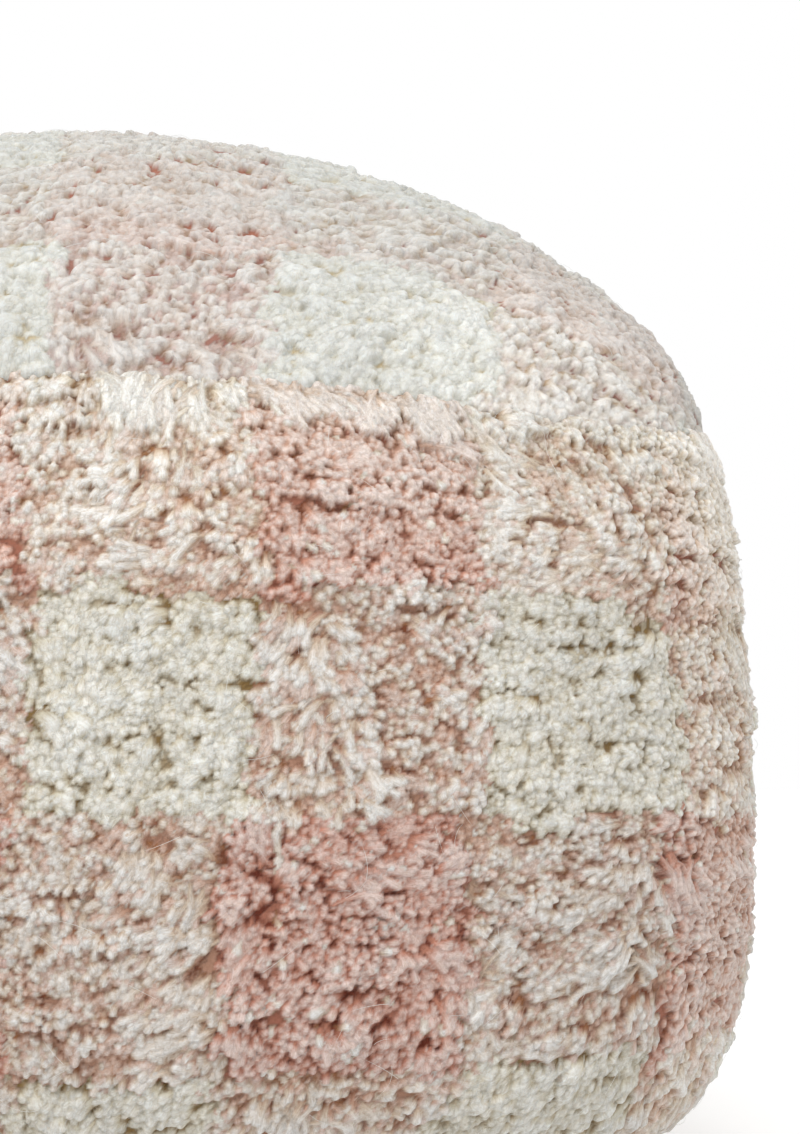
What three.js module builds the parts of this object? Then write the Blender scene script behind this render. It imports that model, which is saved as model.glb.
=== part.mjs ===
// Square stuffed pouf in a deep wool pile: a crowned top panel, a full side band and a flat base.
// The panels part at their seams, and each solid holds the filling behind its panel.
// Millimetres, +Z up, origin on the floor under the crown, front towards -Y.
import * as THREE from 'three';

// Driving dimensions, measured over the tips of the pile
const WIDTH = 500;
const HEIGHT = 400;
const WIDEST_HEIGHT = 212;
const SEAM_HEIGHT = 283;
const SEAM_DROP = 14;
const FOOT_REACH = 216;
const BASE_THICKNESS = 3;
const BASE_INSET = 4;
const SEAM_GAP = 0.4;
const SEAM_DEPTH = 5;
const SEAM_WIDTH = 22;

// How full the plan and the upright outline are: 2 is a circle or an ellipse, more is squarer
const PLAN_FULLNESS = 4;
const CROWN_FULLNESS = 2.04;
const FOOT_FULLNESS = 6;

// Fineness of the solids
const SEGMENTS = 96;
const CROWN_STEPS = 17;
const BAND_STEPS = 20;
const BASE_SEGMENTS = 64;
const TRACE_STEPS = 500;

// Lumps of the stuffing and the pile: each row is one wave through the pouf, in millimetres and degrees
const LUMPS = [
  { wavelength: 310, heading: 25, climb: 15, turn: 40, depth: 1.0 },
  { wavelength: 235, heading: 112, climb: -20, turn: 200, depth: 1.0 },
  { wavelength: 168, heading: 63, climb: 48, turn: 310, depth: 0.9 },
  { wavelength: 131, heading: 158, climb: 33, turn: 95, depth: 0.8 },
  { wavelength: 104, heading: 8, climb: -41, turn: 260, depth: 0.8 },
  { wavelength: 88, heading: 87, climb: 64, turn: 15, depth: 0.7 },
  { wavelength: 79, heading: 137, climb: -8, turn: 150, depth: 0.7 },
];

const COLOURS = { wool: 0xe6cfc2, canvas: 0xd9d0c0 };

const RIGHT_ANGLE = Math.PI / 2;
const BETWEEN_SIDE_AND_CORNER = Math.PI / 8;

// How far the lumps push the surface out at a point, faded near the floor so that the foot stays level
function lumpOffset(x, y, z) {
  const wave = ({ wavelength, heading, climb, turn, depth }) => {
    const [around, up, start] = [heading, climb, turn].map(THREE.MathUtils.degToRad);
    const along = (x * Math.cos(around) + y * Math.sin(around)) * Math.cos(up) + z * Math.sin(up);
    return depth * Math.sin((2 * Math.PI * along) / wavelength + start);
  };
  const lift = THREE.MathUtils.smoothstep(z, 0, WIDEST_HEIGHT / 3);
  return lift * LUMPS.reduce((sum, row) => sum + wave(row), 0);
}

// How far the plan reaches at a turn about Z, as a share of its reach at the middle of a side
function planReach(spin) {
  const [across, along] = [Math.sin(spin), Math.cos(spin)].map(Math.abs);
  return (across ** PLAN_FULLNESS + along ** PLAN_FULLNESS) ** (-1 / PLAN_FULLNESS);
}

// The seam round the top panel, pulled down at the four corners
function seamHeight(spin) {
  return SEAM_HEIGHT - SEAM_DROP * Math.sin(2 * spin) ** 2;
}

// One point of a superellipse quarter: turn runs from 0 on the widest ring to a right angle on the axis
function quarterPoint(turn, reach, fullness) {
  const power = 2 / fullness;
  const radius = (WIDTH / 2) * Math.max(Math.cos(turn), 0) ** power;
  return new THREE.Vector2(radius, WIDEST_HEIGHT + reach * Math.sin(turn) ** power);
}

// The outline at a turn about Z, from the foot to the crown, as finely spaced points
function traceOutline(spin) {
  const turns = Array.from({ length: TRACE_STEPS }, (_, step) => (RIGHT_ANGLE * step) / TRACE_STEPS);
  const foot = turns.map((turn) => quarterPoint(turn, -FOOT_REACH, FOOT_FULLNESS)).reverse();
  const crown = turns.slice(1).map((turn) => quarterPoint(turn, HEIGHT - WIDEST_HEIGHT, CROWN_FULLNESS));
  const widen = new THREE.Vector2(planReach(spin), 1);
  return [...foot, ...crown, new THREE.Vector2(0, HEIGHT)].map((point) => point.multiply(widen));
}

// Where a traced outline crosses a height on its way up
function crossing(trace, height) {
  const above = trace.findIndex((point) => point.y >= height);
  const [low, high] = [trace[above - 1], trace[above]];
  return low.clone().lerp(high, (height - low.y) / (high.y - low.y));
}

// The stretch of an outline between two heights as evenly spaced stations
function stations(spin, lowest, highest, steps) {
  const trace = traceOutline(spin);
  const inside = trace.filter((point) => point.y > lowest && point.y < highest);
  const points = [crossing(trace, lowest), ...inside, crossing(trace, highest)];
  const line = new THREE.CurvePath();
  points.slice(1).forEach((point, i) => line.add(new THREE.LineCurve(points[i], point)));
  return line.getSpacedPoints(steps);
}

// A station's place on the stuffed surface: pushed out by the lumps and drawn in at the seam, away from
// the middle of the pouf. A station on the edge of a flat end moves sideways only.
function stuffedPoint(station, spin, isEdge) {
  const { x: radius, y: height } = station;
  const point = new THREE.Vector3(radius * Math.sin(spin), -radius * Math.cos(spin), height);
  const away = new THREE.Vector3(point.x, point.y, isEdge ? 0 : height - WIDEST_HEIGHT).normalize();
  const seamDip = SEAM_DEPTH * Math.exp(-(((height - seamHeight(spin)) / SEAM_WIDTH) ** 2));
  return point.clone().addScaledVector(away, lumpOffset(point.x, point.y, point.z) - seamDip);
}

// A closed solid between two levels, each given as a function of the turn about Z. A level below the
// crown is an end face, a fan of triangles from the axis to its edge.
function stuffedSolid(lowest, highest, steps) {
  const hasEndFace = highest(0) < HEIGHT;
  const axisPoint = (level) => new THREE.Vector3(0, 0, level(BETWEEN_SIDE_AND_CORNER));
  const rows = steps + (hasEndFace ? 3 : 2);
  const plainProfile = Array.from({ length: rows }, (_, row) => new THREE.Vector2(WIDTH / 2, row));
  const geometry = new THREE.LatheGeometry(plainProfile, SEGMENTS);
  const position = geometry.getAttribute('position');
  for (let segment = 0; segment <= SEGMENTS; segment += 1) {
    const spin = (2 * Math.PI * segment) / SEGMENTS;
    const section = stations(spin, lowest(spin), highest(spin), steps);
    const column = [axisPoint(lowest)];
    section.forEach((station, step) => {
      column.push(stuffedPoint(station, spin, step === 0 || (hasEndFace && step === steps)));
    });
    if (hasEndFace) column.push(axisPoint(highest));
    column.forEach((point, row) => position.setXYZ(segment * rows + row, point.x, point.y, point.z));
  }
  geometry.computeVertexNormals();
  return geometry;
}

function woolMaterial() {
  return new THREE.MeshStandardMaterial({ color: COLOURS.wool, roughness: 0.95, metalness: 0 });
}

function canvasMaterial() {
  return new THREE.MeshStandardMaterial({ color: COLOURS.canvas, roughness: 0.9, metalness: 0 });
}

function namedMesh(name, geometry, material) {
  const mesh = new THREE.Mesh(geometry, material);
  mesh.name = name;
  return mesh;
}

function makeTopPanel() {
  const geometry = stuffedSolid((spin) => seamHeight(spin) + SEAM_GAP / 2, () => HEIGHT, CROWN_STEPS);
  return namedMesh('top_panel', geometry, woolMaterial());
}

function makeSideBand() {
  const floorSeam = () => BASE_THICKNESS + SEAM_GAP;
  const geometry = stuffedSolid(floorSeam, (spin) => seamHeight(spin) - SEAM_GAP / 2, BAND_STEPS);
  return namedMesh('side_band', geometry, woolMaterial());
}

// The base is one flat piece of plain cloth, a little inside the edge of the band that is sewn to it
function makeBasePanel() {
  const edge = Array.from({ length: BASE_SEGMENTS }, (_, segment) => {
    const spin = (2 * Math.PI * segment) / BASE_SEGMENTS;
    const radius = crossing(traceOutline(spin), BASE_THICKNESS + SEAM_GAP).x - BASE_INSET;
    return new THREE.Vector2(radius * Math.sin(spin), -radius * Math.cos(spin));
  });
  const depth = { depth: BASE_THICKNESS, bevelEnabled: false };
  return namedMesh('base_panel', new THREE.ExtrudeGeometry(new THREE.Shape(edge), depth), canvasMaterial());
}

const pouf = new THREE.Group();
pouf.name = 'pouf';
pouf.add(makeTopPanel(), makeSideBand(), makeBasePanel());

export default pouf;
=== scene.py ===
"""Square gingham pouf in a deep wool pile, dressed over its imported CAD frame.

The stuffed form repeats the named sizes of the CAD source, in metres, with +Z up and the front towards -Y.
Two stuffed cores and a base cloth stand for the three CAD nodes. The pile over the cores is planted knot by
knot, each knot a small tuft of yarn ends, and the check decides the colour of every yarn end.
"""

from __future__ import annotations

import logging
import math
from dataclasses import dataclass
from enum import Enum

import bpy
import numpy as np
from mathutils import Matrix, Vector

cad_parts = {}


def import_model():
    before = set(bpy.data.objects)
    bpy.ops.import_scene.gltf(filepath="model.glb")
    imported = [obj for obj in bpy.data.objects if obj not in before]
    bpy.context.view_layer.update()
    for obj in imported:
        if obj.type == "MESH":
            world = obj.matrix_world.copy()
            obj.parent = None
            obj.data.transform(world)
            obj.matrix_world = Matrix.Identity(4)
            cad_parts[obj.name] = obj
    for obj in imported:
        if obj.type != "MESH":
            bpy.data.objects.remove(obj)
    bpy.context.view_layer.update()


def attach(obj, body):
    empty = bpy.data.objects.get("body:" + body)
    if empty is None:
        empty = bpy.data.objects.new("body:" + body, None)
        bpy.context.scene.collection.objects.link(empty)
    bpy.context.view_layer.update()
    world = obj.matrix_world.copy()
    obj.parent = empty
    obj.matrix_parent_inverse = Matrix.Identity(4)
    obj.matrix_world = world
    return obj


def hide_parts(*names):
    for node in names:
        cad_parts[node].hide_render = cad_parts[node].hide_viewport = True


LOG = logging.getLogger("pouf")
BODY = "root"
COLOUR_LAYER = "wool_colour"
PLACE_LAYER = "yarn_place"
BAKE_LAYER = "OFBake"
GOLDEN_ANGLE = math.pi * (3 - math.sqrt(5))
PHOTO_HEIGHT = 1134
SHORTEST = 1e-12
LEAST_SHARE = 1e-6
JOIN_MARGIN = 0.02
FIBRE_FOOT = 0.01
FIBRE_SQUARE = 0.84
BAND_FINE_PITCH = 0.00082
BAND_COARSE_PITCH = 0.00180
TOP_FINE_PITCH = 0.0010
TOP_COARSE_PITCH = 0.00190

Array = np.ndarray
Piece = bpy.types.Object
Mesh = bpy.types.Mesh
Material = bpy.types.Material
Tree = bpy.types.NodeTree
Node = bpy.types.Node
Socket = bpy.types.NodeSocket
Box = tuple[float, float, float, float]
Triple = tuple[float, float, float]


def unit(vectors: Array) -> Array:
    """Scales vectors, which are in the last axis, to length one."""
    length = np.linalg.norm(vectors, axis=-1, keepdims=True)
    return vectors / np.maximum(length, SHORTEST)


def smooth_step(share: Array) -> Array:
    """Eases a share from 0 to 1 in and out: three times its square less twice its cube."""
    share = np.clip(share, 0, 1)
    return share * share * (3 - 2 * share)


def bell(distance: Array, reach: float) -> Array:
    """Gives a bell curve, which is 1 at no distance and falls off over the reach."""
    return np.exp(-((distance / reach) ** 2))


def linear(red: int, green: int, blue: int) -> Triple:
    """Turns a display colour of 0 to 255 into the linear colour that shaders use.

    Args:
        red: Red of the display colour.
        green: Green of the display colour.
        blue: Blue of the display colour.

    Returns:
        The linear colour.
    """
    share = np.array((red, green, blue)) / 255
    value = np.where(share <= 0.04045, share / 12.92, ((share + 0.055) / 1.055) ** 2.4)
    return tuple(float(part) for part in value)


def new_mesh(name: str, points: Array, *faces: Array) -> Mesh:
    """Makes a smooth mesh from whole arrays.

    Args:
        name: Name of the mesh.
        points: Its points.
        faces: Corners of its faces, in arrays that each hold faces of one kind.

    Returns:
        The mesh.
    """
    corners = np.concatenate([part.ravel() for part in faces])
    counts = np.concatenate([np.full(len(part), part.shape[1]) for part in faces])
    mesh = bpy.data.meshes.new(name)
    mesh.vertices.add(len(points))
    mesh.vertices.foreach_set("co", points.astype(np.float32).ravel())
    mesh.loops.add(len(corners))
    mesh.loops.foreach_set("vertex_index", corners.astype(np.int32))
    mesh.polygons.add(len(counts))
    mesh.polygons.foreach_set("loop_start", (np.cumsum(counts) - counts).astype(np.int32))
    mesh.polygons.foreach_set("use_smooth", np.ones(len(counts), dtype=bool))
    mesh.update(calc_edges=True)
    return mesh


def ring_quads(rows: int, columns: int) -> Array:
    """Gives the faces between neighbouring rings of points, which are numbered ring by ring.

    Args:
        rows: Count of rings.
        columns: Points of a ring.

    Returns:
        The corners of the faces.
    """
    column = np.arange(columns)
    following = (column + 1) % columns
    row = np.arange(rows - 1)[:, None] * columns
    left, right = row + column, row + following
    return np.stack([left, right, right + columns, left + columns], axis=-1).reshape(-1, 4)


def closed_rings(name: str, rings: Array, first_pole: Array, last_pole: Array) -> Mesh:
    """Makes a closed mesh from rings of points, with a fan of triangles to a pole at each end.

    Args:
        name: Name of the mesh.
        rings: Points in rings.
        first_pole: The point that closes the first ring.
        last_pole: The point that closes the last ring.

    Returns:
        The mesh.
    """
    rows, columns = rings.shape[:2]
    column = np.arange(columns)
    following = (column + 1) % columns
    pole, last_row = rows * columns, (rows - 1) * columns
    first_fan = np.stack([following, column, np.full(columns, pole)], axis=1)
    last_fan = np.stack([last_row + column, last_row + following, np.full(columns, pole + 1)], axis=1)
    points = np.concatenate([rings.reshape(-1, 3), first_pole[None], last_pole[None]])
    return new_mesh(name, points, ring_quads(rows, columns), first_fan, last_fan)


def add_colours(mesh: Mesh, colours: Array) -> None:
    """Stores an opaque colour at every point of a mesh.

    Args:
        mesh: The mesh.
        colours: Linear colours of its points.
    """
    layer = mesh.attributes.new(COLOUR_LAYER, "FLOAT_COLOR", "POINT")
    opaque = np.concatenate([colours, np.ones((len(colours), 1))], axis=1)
    layer.data.foreach_set("color", opaque.astype(np.float32).ravel())


def add_piece(name: str, mesh: Mesh) -> Piece:
    """Puts a mesh into the scene as a new object.

    Args:
        name: Name of the object.
        mesh: Its mesh.

    Returns:
        The new object.
    """
    piece = bpy.data.objects.new(name, mesh)
    bpy.context.scene.collection.objects.link(piece)
    return piece


@dataclass(frozen=True)
class Lump:
    """One wave of the stuffing through the pouf, in metres and degrees."""

    wavelength: float
    heading: float
    climb: float
    turn: float
    depth: float

    def offset(self, points: Array) -> Array:
        """Gives the wave's push at points: depth times the sine of the distance along its heading.

        Args:
            points: Points of the smooth form.

        Returns:
            The push outwards at each point.
        """
        around, up, start = (math.radians(angle) for angle in (self.heading, self.climb, self.turn))
        level = points[..., 0] * math.cos(around) + points[..., 1] * math.sin(around)
        along = level * math.cos(up) + points[..., 2] * math.sin(up)
        return self.depth * np.sin(2 * np.pi * along / self.wavelength + start)


@dataclass(frozen=True)
class Ripple:
    """Smooth random unevenness over a cloth: a sum of sine waves with random headings and starts."""

    wavelength: float
    seed: int
    waves: int = 24
    shortest: float = 0.7
    longest: float = 1.6

    def at(self, across: Array, along: Array) -> Array:
        """Gives the unevenness at places of the cloth, about -2 to 2 with a spread of 1.

        Args:
            across: Places across the cloth.
            along: Places along the cloth.

        Returns:
            The unevenness at each place.
        """
        rng = np.random.default_rng(self.seed)
        heading = rng.uniform(0, 2 * np.pi, self.waves)
        start = rng.uniform(0, 2 * np.pi, self.waves)
        length = self.wavelength * rng.uniform(self.shortest, self.longest, self.waves)
        rate = 2 * np.pi / length
        angle = across[:, None] * (rate * np.cos(heading)) + along[:, None] * (rate * np.sin(heading)) + start
        return np.sin(angle).sum(axis=1) * math.sqrt(2 / self.waves)


@dataclass(frozen=True)
class Patches:
    """Smooth random patches over a cloth, between none and a most: a ripple that is cut off at both."""

    wavelength: float
    middle: float
    swing: float
    most: float

    def at(self, seed: int, across: Array, along: Array) -> Array:
        """Gives the strength of the patches at places of the cloth.

        Args:
            seed: Start of the ripple's random numbers.
            across: Places across the cloth.
            along: Places along the cloth.

        Returns:
            The strength at each place.
        """
        ripple = Ripple(self.wavelength, seed).at(across, along)
        return np.clip(self.middle + self.swing * ripple, 0, self.most)


@dataclass
class PoufForm:
    """The stuffed form over the tips of the pile, with the sizes of the CAD source.

    A place on it is a spin, the turn about Z from the front towards +X, and a level, the length up the
    outline at the middle of a side from the foot. The plan and the outline are superellipses.
    """

    width: float = 0.5
    height: float = 0.4
    widest_height: float = 0.212
    seam_height: float = 0.283
    seam_drop: float = 0.014
    foot_reach: float = 0.216
    foot_height: float = 0.0034
    plan_fullness: float = 4.0
    crown_fullness: float = 2.04
    foot_fullness: float = 6.0
    seam_depth: float = 0.005
    seam_width: float = 0.022
    still_height: float = 0.132
    foot_rise: float = 0.011
    foot_rise_share: float = 0.6
    trace_steps: int = 3000
    lumps: tuple[Lump, ...] = (
        Lump(wavelength=0.310, heading=25, climb=15, turn=40, depth=0.0010),
        Lump(wavelength=0.235, heading=112, climb=-20, turn=200, depth=0.0010),
        Lump(wavelength=0.168, heading=63, climb=48, turn=310, depth=0.0009),
        Lump(wavelength=0.131, heading=158, climb=33, turn=95, depth=0.0008),
        Lump(wavelength=0.104, heading=8, climb=-41, turn=260, depth=0.0008),
        Lump(wavelength=0.088, heading=87, climb=64, turn=15, depth=0.0007),
        Lump(wavelength=0.079, heading=137, climb=-8, turn=150, depth=0.0007),
    )

    def __post_init__(self) -> None:
        """Traces the outline at the middle of a side and the plan once, as tables for interpolation."""
        turn = np.linspace(0, np.pi / 2, self.trace_steps)
        half = self.width / 2
        foot_power, crown_power = 2 / self.foot_fullness, 2 / self.crown_fullness
        foot_radius = half * np.cos(turn) ** foot_power
        low = self.widest_height - self.foot_reach * np.sin(turn) ** foot_power
        high = self.widest_height + (self.height - self.widest_height) * np.sin(turn) ** crown_power
        radius = np.concatenate([foot_radius[:0:-1], half * np.cos(turn) ** crown_power])
        rise = np.concatenate([low[:0:-1], high])
        first_radius = np.interp(self.foot_height, rise, radius)
        above = rise > self.foot_height
        self.radii = np.concatenate([[first_radius], radius[above]])
        self.heights = np.concatenate([[self.foot_height], rise[above]])
        steps = np.hypot(np.diff(self.radii), np.diff(self.heights))
        self.levels = np.concatenate([[0.0], np.cumsum(steps)])
        self.seam_level = self.level_at(self.seam_height)
        self.crown_level = float(self.levels[-1])
        self.spins = np.linspace(-np.pi, np.pi, self.trace_steps)
        reach = half * self.plan_reach(self.spins)
        plan = np.stack([reach * np.sin(self.spins), -reach * np.cos(self.spins)], axis=1)
        along = np.concatenate([[0.0], np.cumsum(np.linalg.norm(np.diff(plan, axis=0), axis=1))])
        self.girth = float(along[-1])
        self.girths = along - self.girth / 2

    def level_at(self, height: float) -> float:
        """Gives the level of a height at the middle of a side."""
        return float(np.interp(height, self.heights, self.levels))

    def spin_at(self, girth: Array) -> Array:
        """Gives the spin of a length round the widest ring, measured from the front middle."""
        return np.interp(girth, self.girths, self.spins)

    def plan_reach(self, spin: Array) -> Array:
        """Gives how far the plan reaches at a spin, as a share of its reach at the middle of a side."""
        power = self.plan_fullness
        return (np.abs(np.sin(spin)) ** power + np.abs(np.cos(spin)) ** power) ** (-1 / power)

    def drawn_level(self, spin: Array, level: Array) -> Array:
        """Moves levels as the corners draw the cloth: the seam down, the lowest row of the check up.

        Args:
            spin: Turns about Z.
            level: Levels at the middle of a side.

        Returns:
            The levels moved by a share of the draw that is full at the corners and none between them.
        """
        still = self.level_at(self.still_height)
        seam_draw = self.seam_level - self.level_at(self.seam_height - self.seam_drop)
        places = (0.0, still * self.foot_rise_share, still, self.seam_level, self.crown_level)
        draw = np.interp(level, places, (0.0, -self.foot_rise, 0.0, seam_draw, 0.0))
        return level - np.sin(2 * spin) ** 2 * draw

    def smooth(self, spin: Array, level: Array) -> tuple[Array, Array]:
        """Gives points and outward directions of the smooth form.

        The radius is the outline's radius at the level times the reach of the plan at the spin. The
        direction is the slope of the superellipsoid, worked out from the powers of its coordinates.

        Args:
            spin: Turns about Z.
            level: Levels at the middle of a side.

        Returns:
            Points and outward directions.
        """
        drawn = self.drawn_level(spin, level)
        radius = np.interp(drawn, self.levels, self.radii) * self.plan_reach(spin)
        height = np.interp(drawn, self.levels, self.heights)
        points = np.stack([radius * np.sin(spin), -radius * np.cos(spin), height], axis=-1)
        half = self.width / 2
        is_crown = height > self.widest_height
        fullness = np.where(is_crown, self.crown_fullness, self.foot_fullness)
        reach = np.where(is_crown, self.height - self.widest_height, self.foot_reach)
        share = np.maximum(np.abs(points[..., :2]) / half, LEAST_SHARE)
        plan = (share**self.plan_fullness).sum(axis=-1) ** (fullness / self.plan_fullness - 1)
        rise = (height - self.widest_height) / reach
        level_slope = np.sign(points[..., :2]) * share ** (self.plan_fullness - 1) * plan[..., None] / half
        rise_slope = np.sign(rise) * np.abs(rise) ** (fullness - 1) / reach
        return points, unit(np.concatenate([level_slope, rise_slope[..., None]], axis=-1))

    def stuffed(self, spin: Array, level: Array, depth: float = 0.0) -> tuple[Array, Array]:
        """Gives points of the stuffed form and outward directions.

        The smooth points are pushed away from the middle of the pouf by the lumps, which fade towards the
        floor, and drawn in near the seam by a bell curve. Then they sink by a depth.

        Args:
            spin: Turns about Z.
            level: Levels at the middle of a side.
            depth: Depth below the tips of the pile.

        Returns:
            Points and outward directions.
        """
        points, outward = self.smooth(spin, level)
        away = unit(points - np.array([0.0, 0.0, self.widest_height]))
        lift = smooth_step(points[..., 2] / (self.widest_height / 3))
        push = lift * sum(lump.offset(points) for lump in self.lumps)
        from_seam = points[..., 2] - (self.seam_height - self.seam_drop * np.sin(2 * spin) ** 2)
        push = push - self.seam_depth * bell(from_seam, self.seam_width)
        return points + away * push[..., None] - outward * depth, outward


@dataclass(frozen=True)
class Settled:
    """How far the filling moved a cloth, as a grid of movements over spins and levels."""

    movement: Array
    first_level: float
    last_level: float

    def at(self, spin: Array, level: Array) -> Array:
        """Gives the movement at places of the form, evenly blended between the four nearest of the grid.

        Args:
            spin: Turns about Z.
            level: Levels at the middle of a side.

        Returns:
            The movement at each place.
        """
        rows, columns = self.movement.shape[:2]
        column = (spin + np.pi) / (2 * np.pi) * columns
        row = np.clip((level - self.first_level) / (self.last_level - self.first_level), 0, 1) * (rows - 1)
        left = np.floor(column).astype(int)
        low = np.minimum(np.floor(row).astype(int), rows - 2)
        share_right = (column - left)[..., None]
        share_high = (row - low)[..., None]
        left, right = left % columns, (left + 1) % columns
        below = self.movement[low, left] * (1 - share_right) + self.movement[low, right] * share_right
        above = self.movement[low + 1, left] * (1 - share_right) + self.movement[low + 1, right] * share_right
        return below * (1 - share_high) + above * share_high


@dataclass(frozen=True)
class Filling:
    """The filling that presses a cloth outwards while its seams hold it, as a cloth simulation."""

    pressure: float = 4.0
    frames: int = 20
    quality: int = 5
    largest_move: float = 0.0012
    tension: float = 40.0
    bending: float = 4.0

    def settle(self, piece: Piece, held: Array) -> Array:
        """Runs the simulation on a piece, applies it and removes it again.

        A movement longer than the largest is shortened smoothly to less than that.

        Args:
            piece: The closed cloth.
            held: Numbers of the points that the seams hold.

        Returns:
            The movement of every point.
        """
        scene, mesh = bpy.context.scene, piece.data
        group = piece.vertex_groups.new(name="held")
        group.add(held.tolist(), 1.0, "REPLACE")
        cloth = piece.modifiers.new("filling", "CLOTH")
        cloth.settings.quality = self.quality
        cloth.settings.tension_stiffness = self.tension
        cloth.settings.compression_stiffness = self.tension
        cloth.settings.bending_stiffness = self.bending
        cloth.settings.use_pressure = True
        cloth.settings.uniform_pressure_force = self.pressure
        cloth.settings.effector_weights.gravity = 0.0
        cloth.settings.vertex_group_mass = group.name
        cloth.collision_settings.use_collision = False
        cloth.point_cache.frame_start = 1
        cloth.point_cache.frame_end = self.frames
        for frame in range(1, self.frames + 1):
            scene.frame_set(frame)
        rest = np.empty(3 * len(mesh.vertices), dtype=np.float32)
        moved = np.empty_like(rest)
        mesh.vertices.foreach_get("co", rest)
        settled = piece.evaluated_get(bpy.context.evaluated_depsgraph_get())
        settled.data.vertices.foreach_get("co", moved)
        piece.modifiers.remove(cloth)
        piece.vertex_groups.remove(group)
        scene.frame_set(1)
        movement = (moved - rest).reshape(-1, 3).astype(float)
        length = np.linalg.norm(movement, axis=1, keepdims=True)
        movement = movement / (1 + length / self.largest_move)
        mesh.vertices.foreach_set("co", (rest.reshape(-1, 3) + movement).astype(np.float32).ravel())
        mesh.update()
        return movement


class Shade(Enum):
    """The three tiles of a gingham check: no coloured yarn, coloured one way, coloured both ways."""

    CREAM = 0
    MIXED = 1
    PINK = 2


class Dyed(Enum):
    """The four dyed yarns, as rows of the table of dyes. The first three also fill gaps in the tiles."""

    CREAM = 0
    TAN = 1
    PINK = 2
    BLUSH = 3


@dataclass(frozen=True)
class Check:
    """A gingham check on a cloth: coloured columns and rows in turn, the first column coloured.

    The borders between them wander by two ripples, one short and one long.
    """

    column_pitch: float
    column_start: float
    row_borders: tuple[float, ...]
    first_row_pink: bool
    row_shift: tuple[float, ...]
    border_wander: float = 0.0019
    short_wander: Ripple = Ripple(0.055, 71)
    long_wander: Ripple = Ripple(0.30, 72)

    def shift_of(self, row: Array) -> Array:
        """Gives how far the columns of rows stand to the right."""
        return np.array(self.row_shift)[np.minimum(row, len(self.row_shift) - 1)]

    def shades(self, across: Array, along: Array) -> Array:
        """Gives the tile that each knot stands in.

        Args:
            across: Places of the knots across the cloth.
            along: Places of the knots along the cloth.

        Returns:
            The values of Shade, one for each knot.
        """
        wander = self.short_wander.at(across, along) * self.border_wander
        drift = self.long_wander.at(across, along) * self.border_wander
        row = np.searchsorted(np.array(self.row_borders), along + wander + drift)
        place = across + wander - drift - self.column_start - self.shift_of(row)
        column = np.floor(place / self.column_pitch).astype(int)
        pink_row = (row % 2 == 0) == self.first_row_pink
        return (column % 2 == 0).astype(int) + pink_row.astype(int)

    def border_distance(self, across: Array, along: Array) -> tuple[Array, Array]:
        """Gives the signed distances of knots from the nearest column border and row border.

        Args:
            across: Places of the knots across the cloth.
            along: Places of the knots along the cloth.

        Returns:
            The distances across and along.
        """
        borders = np.array(self.row_borders)
        row = np.searchsorted(borders, along)
        phase = (across - self.column_start - self.shift_of(row)) / self.column_pitch
        column_distance = (phase - np.round(phase)) * self.column_pitch
        gaps = along[:, None] - borders[None, :]
        nearest = np.abs(gaps).argmin(axis=1)
        return column_distance, gaps[np.arange(len(along)), nearest]


@dataclass(frozen=True)
class Dye:
    """One dyed yarn, as linear colours of its tip, its body and its root. The dark root colour is painted
    shade for the deep places of the pile. The pale tip colour is partly the paler cut end and partly painted
    highlight.
    """

    tip: Triple
    body: Triple
    root: Triple


@dataclass(frozen=True)
class YarnColours:
    """The dyed yarns, how they share the tiles, and how far single yarn ends stray from them.

    The depth that picks a colour is part depth below the tips of the pile, part depth below the own tip. The
    deeper a place, the more of the dark root colour it takes, which is painted shade.
    """

    # Each root colour is painted shade for the deep places of the pile; each tip colour is partly the paler
    # cut end and partly painted highlight.
    cream: Dye = Dye(tip=linear(206, 207, 203), body=linear(190, 184, 166), root=linear(120, 97, 60))
    tan: Dye = Dye(tip=linear(198, 186, 180), body=linear(177, 144, 125), root=linear(116, 67, 45))
    pink: Dye = Dye(tip=linear(200, 183, 177), body=linear(173, 121, 102), root=linear(102, 46, 30))
    blush: Dye = Dye(tip=linear(205, 204, 202), body=linear(189, 173, 156), root=linear(138, 94, 66))
    spread: float = 0.035
    knot_spread: float = 0.6
    warmth: float = 0.006
    mixed_share: float = 0.5
    under_share: float = 0.35
    knot_share: float = 0.15
    stray_share: float = 0.04
    pile_share: float = 0.55
    pile_start: float = 0.0004
    pile_depth: float = 0.0042
    own_share: float = 0.45
    own_depth: float = 0.0016
    gap_depth: float = 0.7
    darkest: float = 0.01
    palest: float = 0.95

    def table(self) -> Array:
        """Gives the colours of the yarns in the order of Dyed, each with root, body and tip."""
        dyes = (self.cream, self.tan, self.pink, self.blush)
        return np.array([[dye.root, dye.body, dye.tip] for dye in dyes])

    def shaded(self, shade: Array) -> Array:
        """Gives the painted shade between the knots of tiles, their root colours, as linear colours."""
        return self.table()[shade, 0]


def new_material(name: str, values: dict[str, float | tuple[float, ...]]) -> tuple[Material, Node]:
    """Makes a material.

    Args:
        name: Name of the material.
        values: Constants for the shader's sockets, by the names of the sockets.

    Returns:
        The material and its shader.
    """
    material = bpy.data.materials.new(name)
    material.use_nodes = True
    shader = material.node_tree.nodes["Principled BSDF"]
    for socket, value in values.items():
        shader.inputs[socket].default_value = value
    return material, shader


def add_noise(tree: Tree, place: Socket, scale: float, detail: float = 2.0) -> Socket:
    """Adds a noise texture.

    Args:
        tree: The nodes of a material or of a group.
        place: Where the noise is read.
        scale: Its bumps per unit of place.
        detail: How many finer layers it has.

    Returns:
        The socket of its value.
    """
    noise = tree.nodes.new("ShaderNodeTexNoise")
    noise.inputs["Scale"].default_value = scale
    noise.inputs["Detail"].default_value = detail
    tree.links.new(place, noise.inputs["Vector"])
    return noise.outputs["Fac"]


def add_attribute(tree: Tree, name: str) -> Node:
    """Adds the node that reads a layer of the points.

    Args:
        tree: The nodes of a material or of a group.
        name: Name of the layer.

    Returns:
        The node.
    """
    node = tree.nodes.new("ShaderNodeAttribute")
    node.attribute_name = name
    return node


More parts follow.
